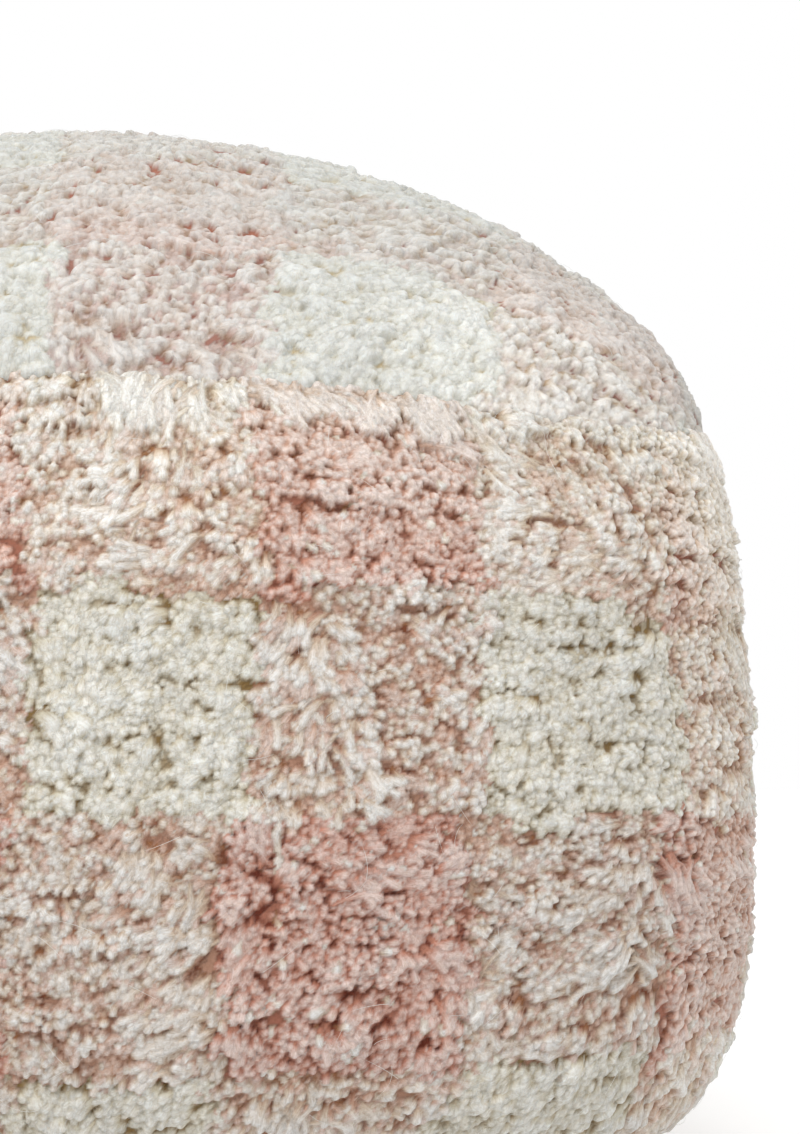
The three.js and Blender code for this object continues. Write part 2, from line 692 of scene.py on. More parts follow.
def add_mix(tree: Tree, share: float, first: Socket, second: Socket) -> Socket:
    """Adds a mix of two values.

    Args:
        tree: The nodes of a material or of a group.
        share: Share of the second value.
        first: The first value.
        second: The second value.

    Returns:
        The socket of the mixed value.
    """
    mix = tree.nodes.new("ShaderNodeMix")
    mix.inputs["Factor"].default_value = share
    tree.links.new(first, mix.inputs["A"])
    tree.links.new(second, mix.inputs["B"])
    return mix.outputs["Result"]


def add_tint(tree: Tree, tint: Socket, share: float, shader: Node) -> None:
    """Colours a shader with the colour of the points, multiplied by a tint.

    Args:
        tree: The nodes of the material.
        tint: The tint.
        share: How strong the tint is.
        shader: The shader.
    """
    mix = tree.nodes.new("ShaderNodeMix")
    mix.data_type = "RGBA"
    mix.blend_type = "MULTIPLY"
    mix.inputs["Factor"].default_value = share
    tree.links.new(add_attribute(tree, COLOUR_LAYER).outputs["Color"], mix.inputs["A"])
    tree.links.new(tint, mix.inputs["B"])
    tree.links.new(mix.outputs["Result"], shader.inputs["Base Color"])


def add_bump(tree: Tree, height: Socket, depth: float, shader: Node) -> Node:
    """Bumps a shader by a height.

    Args:
        tree: The nodes of the material.
        height: What raises the surface.
        depth: How deep the bump is.
        shader: The shader.

    Returns:
        The bump node.
    """
    bump = tree.nodes.new("ShaderNodeBump")
    bump.inputs["Strength"].default_value = 1.0
    bump.inputs["Distance"].default_value = depth
    tree.links.new(height, bump.inputs["Height"])
    tree.links.new(bump.outputs["Normal"], shader.inputs["Normal"])
    return bump


@dataclass(frozen=True)
class Ramp:
    """A blend between two colours, and the two values at which they are reached."""

    first: float
    first_colour: Triple
    last: float
    last_colour: Triple

    def add(self, tree: Tree, value: Socket) -> Socket:
        """Adds the ramp to a tree.

        Args:
            tree: The nodes of a material or of a group.
            value: What picks the colour.

        Returns:
            The socket of the colour.
        """
        node = tree.nodes.new("ShaderNodeValToRGB")
        first, last = node.color_ramp.elements
        first.position = self.first
        first.color = (*self.first_colour, 1)
        last.position = self.last
        last.color = (*self.last_colour, 1)
        tree.links.new(value, node.inputs["Fac"])
        return node.outputs["Color"]


@dataclass(frozen=True)
class Fibres:
    """Wool fibres: streaks along each yarn end and fine fuzz, as a node group."""

    name: str = "wool_fibres"
    streak_rate: float = 2.2
    streak_detail: float = 3.0
    fuzz_per_metre: float = 1100.0
    fuzz_share: float = 0.32
    # Painted shade: darker where the fibre height is low, between fibres.
    tint: Ramp = Ramp(0.36, (0.73, 0.68, 0.625), 0.62, (0.98, 0.98, 0.98))

    def group(self) -> Tree:
        """Gives the node group, built once.

        Returns:
            The group, with outputs Tint, a colour that darkens the yarn between fibres as painted shade where
            the Height is low, and Height.
        """
        if self.name in bpy.data.node_groups:
            return bpy.data.node_groups[self.name]
        group = bpy.data.node_groups.new(self.name, "ShaderNodeTree")
        group.interface.new_socket("Tint", in_out="OUTPUT", socket_type="NodeSocketColor")
        group.interface.new_socket("Height", in_out="OUTPUT", socket_type="NodeSocketFloat")
        place = add_attribute(group, PLACE_LAYER).outputs["Vector"]
        spot = group.nodes.new("ShaderNodeTexCoord").outputs["Object"]
        streaks = add_noise(group, place, self.streak_rate, self.streak_detail)
        both = add_mix(group, self.fuzz_share, streaks, add_noise(group, spot, self.fuzz_per_metre))
        end = group.nodes.new("NodeGroupOutput")
        group.links.new(self.tint.add(group, both), end.inputs["Tint"])
        group.links.new(both, end.inputs["Height"])
        return group


@dataclass(frozen=True)
class WoolFinish:
    """Matt wool yarn: the colour of each yarn end with fibre streaks of painted shade, a soft sheen and a
    fibre bump.
    """

    name: str
    streaks: float = 1.0
    roughness: float = 0.92
    shine: float = 0.2
    sheen: float = 0.15
    sheen_roughness: float = 0.45
    bump_depth: float = 0.0008
    softness: float = 0.12
    soft_radius: Triple = (1.0, 0.72, 0.5)
    soft_depth: float = 0.002

    def material(self) -> Material:
        """Builds the material.

        Returns:
            The finished material.
        """
        constants = {
            "Roughness": self.roughness,
            "Specular IOR Level": self.shine,
            "Sheen Weight": self.sheen,
            "Sheen Roughness": self.sheen_roughness,
            "Subsurface Weight": self.softness,
            "Subsurface Radius": self.soft_radius,
            "Subsurface Scale": self.soft_depth,
        }
        material, shader = new_material(self.name, constants)
        fibres = material.node_tree.nodes.new("ShaderNodeGroup")
        fibres.node_tree = Fibres().group()
        add_tint(material.node_tree, fibres.outputs["Tint"], self.streaks, shader)
        add_bump(material.node_tree, fibres.outputs["Height"], self.bump_depth, shader)
        return material


@dataclass(frozen=True)
class PaintedShadeFinish:
    """Painted shade between the knots: round yarn ends in the shaded tone of the tile, darker still between
    them.
    """

    name: str = "shaded_wool"
    roughness: float = 0.95
    ends_per_metre: float = 270.0
    bump_depth: float = 0.003
    # Painted shade: lighter in the middle of each round end, darker between the ends.
    tint: Ramp = Ramp(0.2, (1.15, 1.15, 1.15), 0.75, (0.55, 0.5, 0.45))

    def material(self) -> Material:
        """Builds the material.

        Returns:
            The finished material.
        """
        material, shader = new_material(self.name, {"Roughness": self.roughness})
        tree = material.node_tree
        ends = tree.nodes.new("ShaderNodeTexVoronoi")
        ends.inputs["Scale"].default_value = self.ends_per_metre
        spot = tree.nodes.new("ShaderNodeTexCoord")
        tree.links.new(spot.outputs["Object"], ends.inputs["Vector"])
        add_tint(tree, self.tint.add(tree, ends.outputs["Distance"]), 1.0, shader)
        add_bump(tree, ends.outputs["Distance"], self.bump_depth, shader).invert = True
        return material


@dataclass(frozen=True)
class CanvasFinish:
    """Plain undyed canvas: crossed threads as a bump, with painted shade between them, uneven in tone."""

    name: str = "plain_canvas"
    roughness: float = 0.9
    sheen: float = 0.2
    threads_per_metre: float = 1400.0
    wave_rate: float = 2 * math.pi / 20
    thread_wander: float = 0.6
    patches_per_metre: float = 28.0
    patch_share: float = 0.5
    bump_depth: float = 0.0004
    tone: Ramp = Ramp(0.1, linear(176, 164, 142), 0.7, linear(226, 217, 199))

    def material(self) -> Material:
        """Builds the material: the weave is the product of two wave textures at right angles.

        Returns:
            The finished material.
        """
        constants = {"Roughness": self.roughness, "Sheen Weight": self.sheen}
        material, shader = new_material(self.name, constants)
        tree = material.node_tree
        spot = tree.nodes.new("ShaderNodeTexCoord").outputs["Object"]
        weave = tree.nodes.new("ShaderNodeMath")
        weave.operation = "MULTIPLY"
        for index, direction in enumerate(("X", "Y")):
            thread = tree.nodes.new("ShaderNodeTexWave")
            thread.bands_direction = direction
            thread.inputs["Scale"].default_value = self.threads_per_metre * self.wave_rate
            thread.inputs["Distortion"].default_value = self.thread_wander
            tree.links.new(spot, thread.inputs["Vector"])
            tree.links.new(thread.outputs["Fac"], weave.inputs[index])
        patches = add_noise(tree, spot, self.patches_per_metre)
        mixed = add_mix(tree, self.patch_share, weave.outputs["Value"], patches)
        # Painted shade between the threads, mixed with uneven patches of tone.
        tree.links.new(self.tone.add(tree, mixed), shader.inputs["Base Color"])
        add_bump(tree, weave.outputs["Value"], self.bump_depth, shader)
        return material


@dataclass(frozen=True)
class FibreFinish:
    """Matt single fibres in the colour of each fibre."""

    name: str = "stray_fibre"
    roughness: float = 0.8

    def material(self) -> Material:
        """Builds the material.

        Returns:
            The finished material.
        """
        material, shader = new_material(self.name, {"Roughness": self.roughness})
        colour = add_attribute(material.node_tree, COLOUR_LAYER).outputs["Color"]
        material.node_tree.links.new(colour, shader.inputs["Base Color"])
        return material


@dataclass
class Yarn:
    """Sizes of the yarn ends and of the knots that hold them.

    A knot has top ends, lower ends that fill in under them, and one thick body in its middle. Three
    values in a row are for cream, mixed and pink tiles.
    """

    knot_pitch: float = 0.0076
    row_pitch: float = 0.0089
    knot_jitter: float = 0.0012
    row_jitter: float = 0.0008
    top_ends: int = 12
    under_ends: int = 9
    under_turn: float = 1.3
    radius: float = 0.0016
    radius_spread: float = 0.17
    radius_limits: tuple[float, float] = (0.6, 1.5)
    knot_spread: float = 0.08
    roundness: float = 1.65
    profile_power: float = 1.5
    standing_length: float = 0.0020
    length_range: tuple[float, float] = (0.8, 1.4)
    length_limits: tuple[float, float] = (0.002, 0.016)
    spread: float = 0.0046
    fan_heading: float = 0.45
    end_jitter: float = 0.0006
    end_lean: float = 0.0009
    knot_lean: float = 0.0009
    lean_range: tuple[float, float] = (0.65, 1.3)
    knot_rise: float = 0.0004
    end_rise: float = 0.0004
    highest_rise: float = 0.0022
    knot_dome: Triple = (0.0015, 0.0008, 0.0006)
    body_radius: float = 0.0040
    body_drop: float = 0.0022
    body_sink: Triple = (0.0005, 0.0012, 0.0016)
    under_sink: float = 0.0013
    under_lean: float = 0.50
    under_width: float = 1.1
    tan_sink: float = 0.0008
    drop: float = 0.0042
    flat_lean: float = 0.0085
    flat_start: float = 1.35
    flat_least: float = 0.35
    cream_width: float = 1.18
    bend: float = 35.0
    floor: float = 0.0031
    row_step: float = 0.0008
    row_patches: Patches = Patches(0.06, 0.6, 0.8, 1.4)


@dataclass
class Knots:
    """Knots of one cloth: their places on the flat cloth, their tile, their lean, their rise, their fade to
    cream, partly painted light, and their tone, which is painted light and shade.
    """

    across: Array
    along: Array
    shade: Array
    lean: Array
    rise: Array
    fade: Array
    tone: Array


@dataclass
class Ends:
    """The yarn ends of knots: the knot and its tile, the kind of end, and its place in the knot."""

    knot: Array
    shade: Array
    is_under: Array
    is_body: Array
    order: Array
    share: Array


@dataclass
class Strands:
    """Yarn ends on one cloth: a rounded tip on the flat cloth, with a body that runs back and down."""

    tip: Array
    heading: Array
    length: Array
    bend: Array
    radius: Array
    rise: Array
    drop: Array
    dye: Array
    tint: Array
    fade: Array

    def chosen(self, choice: Array) -> Strands:
        """Gives some of the yarn ends."""
        return Strands(**{name: value[choice] for name, value in vars(self).items()})

    def near(self, box: Box, margin: float) -> Strands:
        """Gives the yarn ends whose tips are in a box of the flat cloth or near it.

        Args:
            box: First and last place across, first and last place along.
            margin: How far outside the box a tip may be.

        Returns:
            The chosen yarn ends.
        """
        across, along = self.tip[:, 0], self.tip[:, 1]
        choice = (across > box[0] - margin) & (across < box[1] + margin)
        return self.chosen(choice & (along > box[2] - margin) & (along < box[3] + margin))

    def joined(self, girth: float, margin: float) -> Strands:
        """Adds copies of the yarn ends near both ends of a band, each past the other end, where they meet.

        Args:
            girth: Length of the band.
            margin: How near an end a yarn end is copied.

        Returns:
            The yarn ends with the copies.
        """
        parts = [self]
        for side in (-1, 1):
            part = self.chosen(side * self.tip[:, 0] > girth / 2 - margin)
            part.tip = part.tip - np.array([side * girth, 0.0])
            parts.append(part)
        names = vars(self)
        return Strands(**{name: np.concatenate([getattr(part, name) for part in parts]) for name in names})


@dataclass
class WoolPile:
    """The pile of one cloth: turns knots into yarn ends."""

    yarn: Yarn
    colours: YarnColours
    seed: int

    def grow(self, knots: Knots) -> Strands:
        """Grows the yarn ends of all knots: an end is as long as it leans, and its tip is carried along.

        Args:
            knots: The knots of the cloth.

        Returns:
            The yarn ends.
        """
        yarn, rng = self.yarn, np.random.default_rng(self.seed)
        ends = self.ends(knots)
        count = len(ends.knot)
        fan = self.fanned(knots, ends, rng)
        lean = self.leaning(knots, ends, rng)
        direction = lean + yarn.fan_heading * fan
        dye = self.pick_dyes(ends, rng)
        rise = self.raised(knots, ends, fan, dye, rng)
        radius = self.radii(ends, rng)
        length = np.linalg.norm(direction, axis=1) * rng.uniform(*yarn.length_range, count)
        return Strands(
            tip=np.stack([knots.across, knots.along], axis=1)[ends.knot] + fan + lean,
            heading=unit(direction),
            length=np.clip(yarn.standing_length + length, *yarn.length_limits),
            bend=rng.normal(0, yarn.bend, count),
            radius=radius,
            rise=rise,
            drop=self.drops(ends, lean),
            dye=dye,
            # The tint carries the knots' painted light and shade as well as random tone.
            tint=self.tints(ends, rng) * knots.tone[ends.knot][:, None],
            fade=knots.fade[ends.knot],
        )

    def ends(self, knots: Knots) -> Ends:
        """Counts out the yarn ends of all knots, the top ones first, then the lower ones and the body.

        Args:
            knots: The knots of the cloth.

        Returns:
            The yarn ends, knot by knot.
        """
        yarn = self.yarn
        per_knot = yarn.top_ends + yarn.under_ends + 1
        knot = np.repeat(np.arange(len(knots.across)), per_knot)
        order = np.tile(np.arange(per_knot), len(knots.across))
        is_body = order == per_knot - 1
        is_under = (order >= yarn.top_ends) & ~is_body
        order = np.where(is_under, order - yarn.top_ends, order)
        share = (order + 0.5) / np.where(is_under, yarn.under_ends, yarn.top_ends)
        return Ends(knot, knots.shade[knot], is_under, is_body, order, share)

    def fanned(self, knots: Knots, ends: Ends, rng: np.random.Generator) -> Array:
        """Fans the ends of a knot out round it, each a golden angle further than the one before.

        Args:
            knots: The knots of the cloth.
            ends: Their yarn ends.
            rng: Random numbers of this cloth.

        Returns:
            Places on the flat cloth, from the middle of the knot. The body stays there.
        """
        angle = rng.uniform(0, 2 * np.pi, len(knots.across))[ends.knot] + GOLDEN_ANGLE * ends.order
        angle = angle + self.yarn.under_turn * ends.is_under
        fan = self.yarn.spread * np.stack([np.cos(angle), np.sin(angle)], axis=1)
        fan = fan * np.sqrt(ends.share)[:, None] + rng.normal(0, self.yarn.end_jitter, fan.shape)
        fan[ends.is_body] = 0.0
        return fan

    def leaning(self, knots: Knots, ends: Ends, rng: np.random.Generator) -> Array:
        """Gives each yarn end its knot's lean, more or less, the lower ends less of it.

        Args:
            knots: The knots of the cloth.
            ends: Their yarn ends.
            rng: Random numbers of this cloth.

        Returns:
            Leans on the flat cloth.
        """
        yarn, count = self.yarn, len(ends.knot)
        knot_lean = knots.lean + rng.normal(0, yarn.knot_lean, knots.lean.shape)
        lean = knot_lean[ends.knot] * rng.uniform(*yarn.lean_range, (count, 1))
        lean = lean + rng.normal(0, yarn.end_lean, (count, 2))
        return lean * np.where(ends.is_under, yarn.under_lean, 1.0)[:, None]

    def pick_dyes(self, ends: Ends, rng: np.random.Generator) -> Array:
        """Picks a dyed yarn for every yarn end: cream, tan and blush in mixed tiles, pink in pink tiles.

        Args:
            ends: The yarn ends.
            rng: Random numbers of this cloth.

        Returns:
            The values of Dyed.
        """
        shade, colours = ends.shade, self.colours
        dice = rng.random(len(shade)) - colours.under_share * ends.is_under
        dice = dice + rng.normal(0, colours.knot_share, ends.knot[-1] + 1)[ends.knot]
        is_tan = (shade == Shade.MIXED.value) & (dice < colours.mixed_share)
        is_pink = (shade == Shade.PINK.value) & (rng.random(len(shade)) > colours.stray_share)
        is_blush = (shade != Shade.CREAM.value) & ~is_tan & ~is_pink
        return is_tan * Dyed.TAN.value + is_pink * Dyed.PINK.value + is_blush * Dyed.BLUSH.value

    def raised(self, knots: Knots, ends: Ends, fan: Array, dye: Array, rng: np.random.Generator) -> Array:
        """Gives the rise of each tip.

        A knot is a dome: its outer ends stand lower. Where the rows show, the front ends of a knot stand
        higher, over the row below. The lower ends and the tan ends sink.

        Args:
            knots: The knots of the cloth.
            ends: Their yarn ends.
            fan: Places of the ends in their knots.
            dye: Dyes of the ends.
            rng: Random numbers of this cloth.

        Returns:
            The rise of each tip over the form.
        """
        yarn, knot = self.yarn, ends.knot
        rise = knots.rise[knot] + rng.normal(0, yarn.knot_rise, len(knots.rise))[knot]
        step = yarn.row_step * yarn.row_patches.at(self.seed + 1, knots.across, knots.along)
        rise = rise - step[knot] * fan[:, 1] / yarn.spread
        dome = np.array(yarn.knot_dome)[ends.shade] * ends.share
        sunk = np.where(ends.is_body, np.array(yarn.body_sink)[ends.shade], dome)
        rise = np.where(ends.is_under, -yarn.under_sink, rise - sunk)
        rise = rise + rng.normal(0, yarn.end_rise, len(rise)) - yarn.tan_sink * (dye == Dyed.TAN.value)
        return np.minimum(rise, yarn.highest_rise)

    def radii(self, ends: Ends, rng: np.random.Generator) -> Array:
        """Gives the radius of each yarn end, which differs between ends and between knots.

        Args:
            ends: The yarn ends.
            rng: Random numbers of this cloth.

        Returns:
            The radii.
        """
        yarn, count = self.yarn, len(ends.knot)
        radius = yarn.radius * np.clip(rng.normal(1, yarn.radius_spread, count), *yarn.radius_limits)
        radius = radius * np.where(ends.is_under, yarn.under_width, 1.0)
        radius = radius * np.where(ends.shade == Shade.CREAM.value, yarn.cream_width, 1.0)
        radius = np.where(ends.is_body, yarn.body_radius, radius)
        return radius * rng.normal(1, yarn.knot_spread, ends.knot[-1] + 1)[ends.knot]

    def drops(self, ends: Ends, lean: Array) -> Array:
        """Gives how far each yarn end drops along its body: leaning ends of coloured tiles lie flatter.

        Args:
            ends: The yarn ends.
            lean: Their leans on the flat cloth.

        Returns:
            The drops.
        """
        yarn = self.yarn
        flatter = np.clip(yarn.flat_start - np.linalg.norm(lean, axis=1) / yarn.flat_lean, yarn.flat_least, 1)
        flatter = np.where(ends.shade == Shade.CREAM.value, 1.0, flatter)
        return np.where(ends.is_body, yarn.body_drop, yarn.drop) * flatter

    def tints(self, ends: Ends, rng: np.random.Generator) -> Array:
        """Gives the small differences of tone and warmth between knots and between yarn ends.

        Args:
            ends: The yarn ends.
            rng: Random numbers of this cloth.

        Returns:
            Factors for the three parts of the colour.
        """
        count, spread = len(ends.knot), self.colours.spread
        knot_tone = rng.normal(0, self.colours.knot_spread * spread, ends.knot[-1] + 1)
        tone = 1 + knot_tone[ends.knot] + rng.normal(0, spread, count)
        warm = rng.normal(0, self.colours.warmth, count)
        return tone[:, None] * np.stack([1 + warm, np.ones(count), 1 - warm], axis=1)


@dataclass
class Nap:
    """How the pile of a cloth lies: standing patches, laid patches, and partings along the check."""

    seed: int
    patch_seed: int
    heading_seed: int
    standing_lean: float = 0.0010
    laid_lean: float = 0.0040
    laid_patches: Patches = Patches(0.085, 0.5, 0.9, 1.0)
    lean_swing: float = 0.25
    lean_wavelength: float = 0.03
    sideways: float = 1.1
    sideways_wavelength: float = 0.17
    fall_swing: float = 0.5
    fall_wavelength: float = 0.10
    row_lean: float = 0.0010
    row_wavelength: float = 0.016
    row_stretch: float = 3.0
    sag: float = 0.0010
    downward: float = 0.45
    upright: float = 0.75
    upright_reach: float = 0.0060
    parting: float = 0.0010
    parting_reach: float = 0.0045
    parting_patches: Patches = Patches(0.09, 0.45, 0.8, 1.5)
    groove: float = 0.0018
    groove_reach: float = 0.0022
    hills: float = 0.0004
    hill_wavelength: float = 0.030
    row_hills: float = 0.0003
    row_hill_wavelength: float = 0.014

    def lie(self, check: Check, across: Array, along: Array) -> tuple[Array, Array]:
        """Gives the lean and the rise of knots.

        A smooth patchiness tells laid from standing pile. Laid pile follows a smooth heading that runs
        mostly sideways and down. Knots next to a border of the check lean away from it, and sink, where
        the parting is open.

        Args:
            across: Places of the knots across the cloth.
            along: Places of the knots along the cloth.

        Returns:
            The lean as vectors on the flat cloth, and the rise.
        """

        def ripple(wavelength: float, step: int, stretch: float = 1.0) -> Array:
            """Gives one unevenness of this cloth, stretched across it."""
            return Ripple(wavelength, self.seed + step).at(across / stretch, along)

        laid = smooth_step(self.laid_patches.at(self.patch_seed, across, along))
        sideways = self.sideways * Ripple(self.sideways_wavelength, self.heading_seed).at(across, along)
        fall = self.fall_swing * ripple(self.fall_wavelength, 3) - self.downward
        heading = unit(np.stack([sideways, fall], axis=1))
        swing = 1 + self.lean_swing * ripple(self.lean_wavelength, 4)
        lean = heading * (self.standing_lean + self.laid_lean * laid * swing)[:, None]
        rows = [ripple(self.row_wavelength, step, self.row_stretch) for step in (5, 6)]
        lean = lean + self.row_lean * np.stack(rows, axis=1)
        lean[:, 1] -= self.sag
        rise = self.hills * ripple(self.hill_wavelength, 7)
        rise = rise + self.row_hills * ripple(self.row_hill_wavelength, 8, self.row_stretch)
        gaps = np.stack(check.border_distance(across, along), axis=1)
        lean = lean * (1 - self.upright * bell(gaps, self.upright_reach))
        patches = [self.parting_patches.at(self.seed + step, across, along) for step in (9, 10)]
        opening = np.stack(patches, axis=1)
        lean = lean + self.parting * opening * np.sign(gaps) * np.exp(-np.abs(gaps) / self.parting_reach)
        return lean, rise - self.groove * (opening * bell(gaps, self.groove_reach)).sum(axis=1)


@dataclass
class PileCloth:
    """What the band and the top panel share: the form, the yarn, and the movement by the filling."""

    form: PoufForm
    yarn: Yarn
    nap: Nap
    settled: Settled | None = None
    tuck: float = 0.010
    dive: float = 0.9
    edge_sink: float = 0.0010
    uneven_wavelength: float = 0.045

    def settled_form(self, spin: Array, level: Array) -> tuple[Array, Array]:
        """Gives the form as the filling moved it.

        Args:
            spin: Turns about Z.
            level: Levels at the middle of a side.

        Returns:
            Points and outward directions.
        """
        points, outward = self.form.stuffed(spin, level)
        if self.settled is not None:
            points = points + self.settled.at(spin, level)
        return points, outward

    def uneven(self, across: Array, along: Array) -> Array:
        """Gives the unevenness of the pile along the edges of the cloth."""
        return Ripple(self.uneven_wavelength, self.nap.seed + 11).at(across, along)

    def grid(self, across: tuple[float, float], along: tuple[float, float]) -> tuple[Array, Array]:
        """Lays knots in rows, every second row half a pitch along, each knot a little off its place.

        Args:
            across: First and last place across the cloth.
            along: First and last place along the cloth.

        Returns:
            Places across and along.
        """
        rng, yarn = np.random.default_rng(self.nap.seed), self.yarn
        width, length = across[1] - across[0], along[1] - along[0]
        columns, rows = round(width / yarn.knot_pitch), round(length / yarn.row_pitch)
        column, row = np.meshgrid(np.arange(columns), np.arange(rows))
        place_across = across[0] + (column + 0.5 * (row % 2)) * width / columns
        place_along = along[0] + (row + 0.5) * length / rows
        place_across = place_across + rng.normal(0, yarn.knot_jitter, column.shape)
        place_along = place_along + rng.normal(0, yarn.row_jitter, column.shape)
        return place_across.ravel(), place_along.ravel()


@dataclass
class SideBand(PileCloth):
    """The band round the sides: its knots run in level rows, from the foot to the seam."""

    row_heights: Triple = (0.047, 0.132, 0.212)
    column_pitch: float = 0.078
    column_start: float = 0.054
    row_shift: tuple[float, ...] = (-0.009, -0.009, 0.0, -0.002)
    # Painted light: the highest row is lighter than the rows below it, as the light falls from above.
    painted_row_light: tuple[float, ...] = (0.99, 0.98, 1.00, 1.11)
    seam_loft: float = 0.0025
    seam_loft_reach: float = 0.020
    foot_loft: float = 0.0032
    foot_loft_height: float = 0.19
    thin_height: float = 0.212
    thin_loft: float = 0.0037
    thin_reach: float = 0.045
    top_fade: float = 0.36
    top_fade_height: float = 0.20
    top_fade_reach: float = 0.08
    seam_fade: float = 0.30
    seam_fade_reach: float = 0.009
    pale_patch_across: float = 0.275
    pale_patch_height: float = 0.250
    pale_patch_reach: float = 0.060
    pale_patch_fade: float = 0.50
    corner_across: float = 0.195
    corner_reach: float = 0.03
    # Painted light: the pile near the corners is paler and brighter.
    corner_light_fade: float = 0.26
    painted_corner_light: float = 0.17
    most_fade: float = 0.85
    evenness: float = 0.75
    unevenness: float = 0.35
    edge_fall: float = 0.0040
    edge_fall_reach: float = 0.012
    foot_fall: float = 0.0050
    foot_fall_reach: float = 0.06
    edge_roll: float = 0.0022
    roll_place: float = 0.0055
    roll_reach: float = 0.0055
    crevice_place: float = 0.0160
    crevice_reach: float = 0.004
    crevice_patches: Patches = Patches(0.10, 0.35, 1.1, 1.3)
    edge_sink_reach: float = 0.002

    def check(self) -> Check:
        """Gives the band's check, with its row borders as levels."""
        borders = tuple(self.form.level_at(height) for height in self.row_heights)
        return Check(self.column_pitch, self.column_start, borders, False, self.row_shift)

    def shades_at(self, spin: Array, level: Array) -> Array:
        """Gives the tiles at places of the form."""
        return self.check().shades(np.interp(spin, self.form.spins, self.form.girths), level)

    def inside(self, across: Array, along: Array) -> Array:
        """Tells which places of the flat cloth are on the band: all of them."""
        return np.ones(len(across), dtype=bool)

    def surface(self, across: Array, along: Array) -> tuple[Array, Array]:
        """Gives points and outward directions. A place past the join goes on from the other end."""
        half = self.form.girth / 2
        return self.settled_form(self.form.spin_at((across + half) % self.form.girth - half), along)

    def loft(self, across: Array, along: Array) -> Array:
        """Gives how much further out the pile stands: in the hollow of the seam and towards the foot.

        It is flattened a little below the seam, and places past the seam dive below the panel.

        Args:
            across: Places across the cloth.
            along: Places along the cloth.

        Returns:
            The loft at each place.
        """
        from_seam = self.form.seam_level - along
        low = np.clip(1 - along / self.form.level_at(self.foot_loft_height), 0, 1)
        loft = self.seam_loft * bell(from_seam, self.seam_loft_reach) + self.foot_loft * low * (2 - low)
        loft = loft - self.thin_loft * bell(along - self.form.level_at(self.thin_height), self.thin_reach)
        return loft - self.dive * np.maximum(-from_seam, 0)

    def knots(self) -> Knots:
        """Plants the band's knots: the pile falls over in front of the seam and hangs at the foot.

        Returns:
            The knots.
        """
        form, half = self.form, self.form.girth / 2
        across, along = self.grid((-half, half), (0.0, form.seam_level + self.tuck))
        check = self.check()
        lean, rise = self.nap.lie(check, across, along)
        from_seam = form.seam_level - along
        uneven = self.evenness + self.unevenness * self.uneven(across, along)
        lean[:, 1] -= self.edge_fall * uneven * bell(from_seam, self.edge_fall_reach)
        lean[:, 1] -= self.foot_fall * uneven * bell(along, self.foot_fall_reach)
        crevice = self.crevice_patches.at(self.nap.seed + 12, across, along)
        roll = uneven * bell(from_seam - self.roll_place, self.roll_reach)
        roll = roll - crevice * bell(from_seam - self.crevice_place, self.crevice_reach)
        rise = rise + self.edge_roll * roll - self.edge_sink * bell(from_seam, self.edge_sink_reach)
        # Painted light: brighter towards the corners.
        corner = np.clip((np.abs(across) - self.corner_across) / self.corner_reach, 0, 1)
        # Painted light by row.
        tone = np.array(self.painted_row_light)[np.searchsorted(np.array(check.row_borders), along)]
        tone = tone * (1 + self.painted_corner_light * corner)
        fade = self.fades(across, along, corner)
        return Knots(across, along, check.shades(across, along), lean, rise, fade, tone)

    def fades(self, across: Array, along: Array, corner: Array) -> Array:
        """Gives how far the dyes are faded to cream: towards the seam, in a pale patch high on the right, and
        at the corners, where the paler pile is painted light.

        Args:
            across: Places of the knots across the cloth.
            along: Places of the knots along the cloth.
            corner: How near the corners the knots are, from 0 to 1.

        Returns:
            The fade of each knot.
        """
        form = self.form
        high = np.clip((along - form.level_at(self.top_fade_height)) / self.top_fade_reach, 0, 1)
        fade = high * self.top_fade + self.seam_fade * bell(form.seam_level - along, self.seam_fade_reach)
        # Paler in a patch high on the right.
        from_pale_patch = np.hypot(across - self.pale_patch_across, along - form.level_at(self.pale_patch_height))
        fade = fade + self.pale_patch_fade * bell(from_pale_patch, self.pale_patch_reach)
        # The paler corners are painted light.
        return np.clip(fade + self.corner_light_fade * corner, 0, self.most_fade)


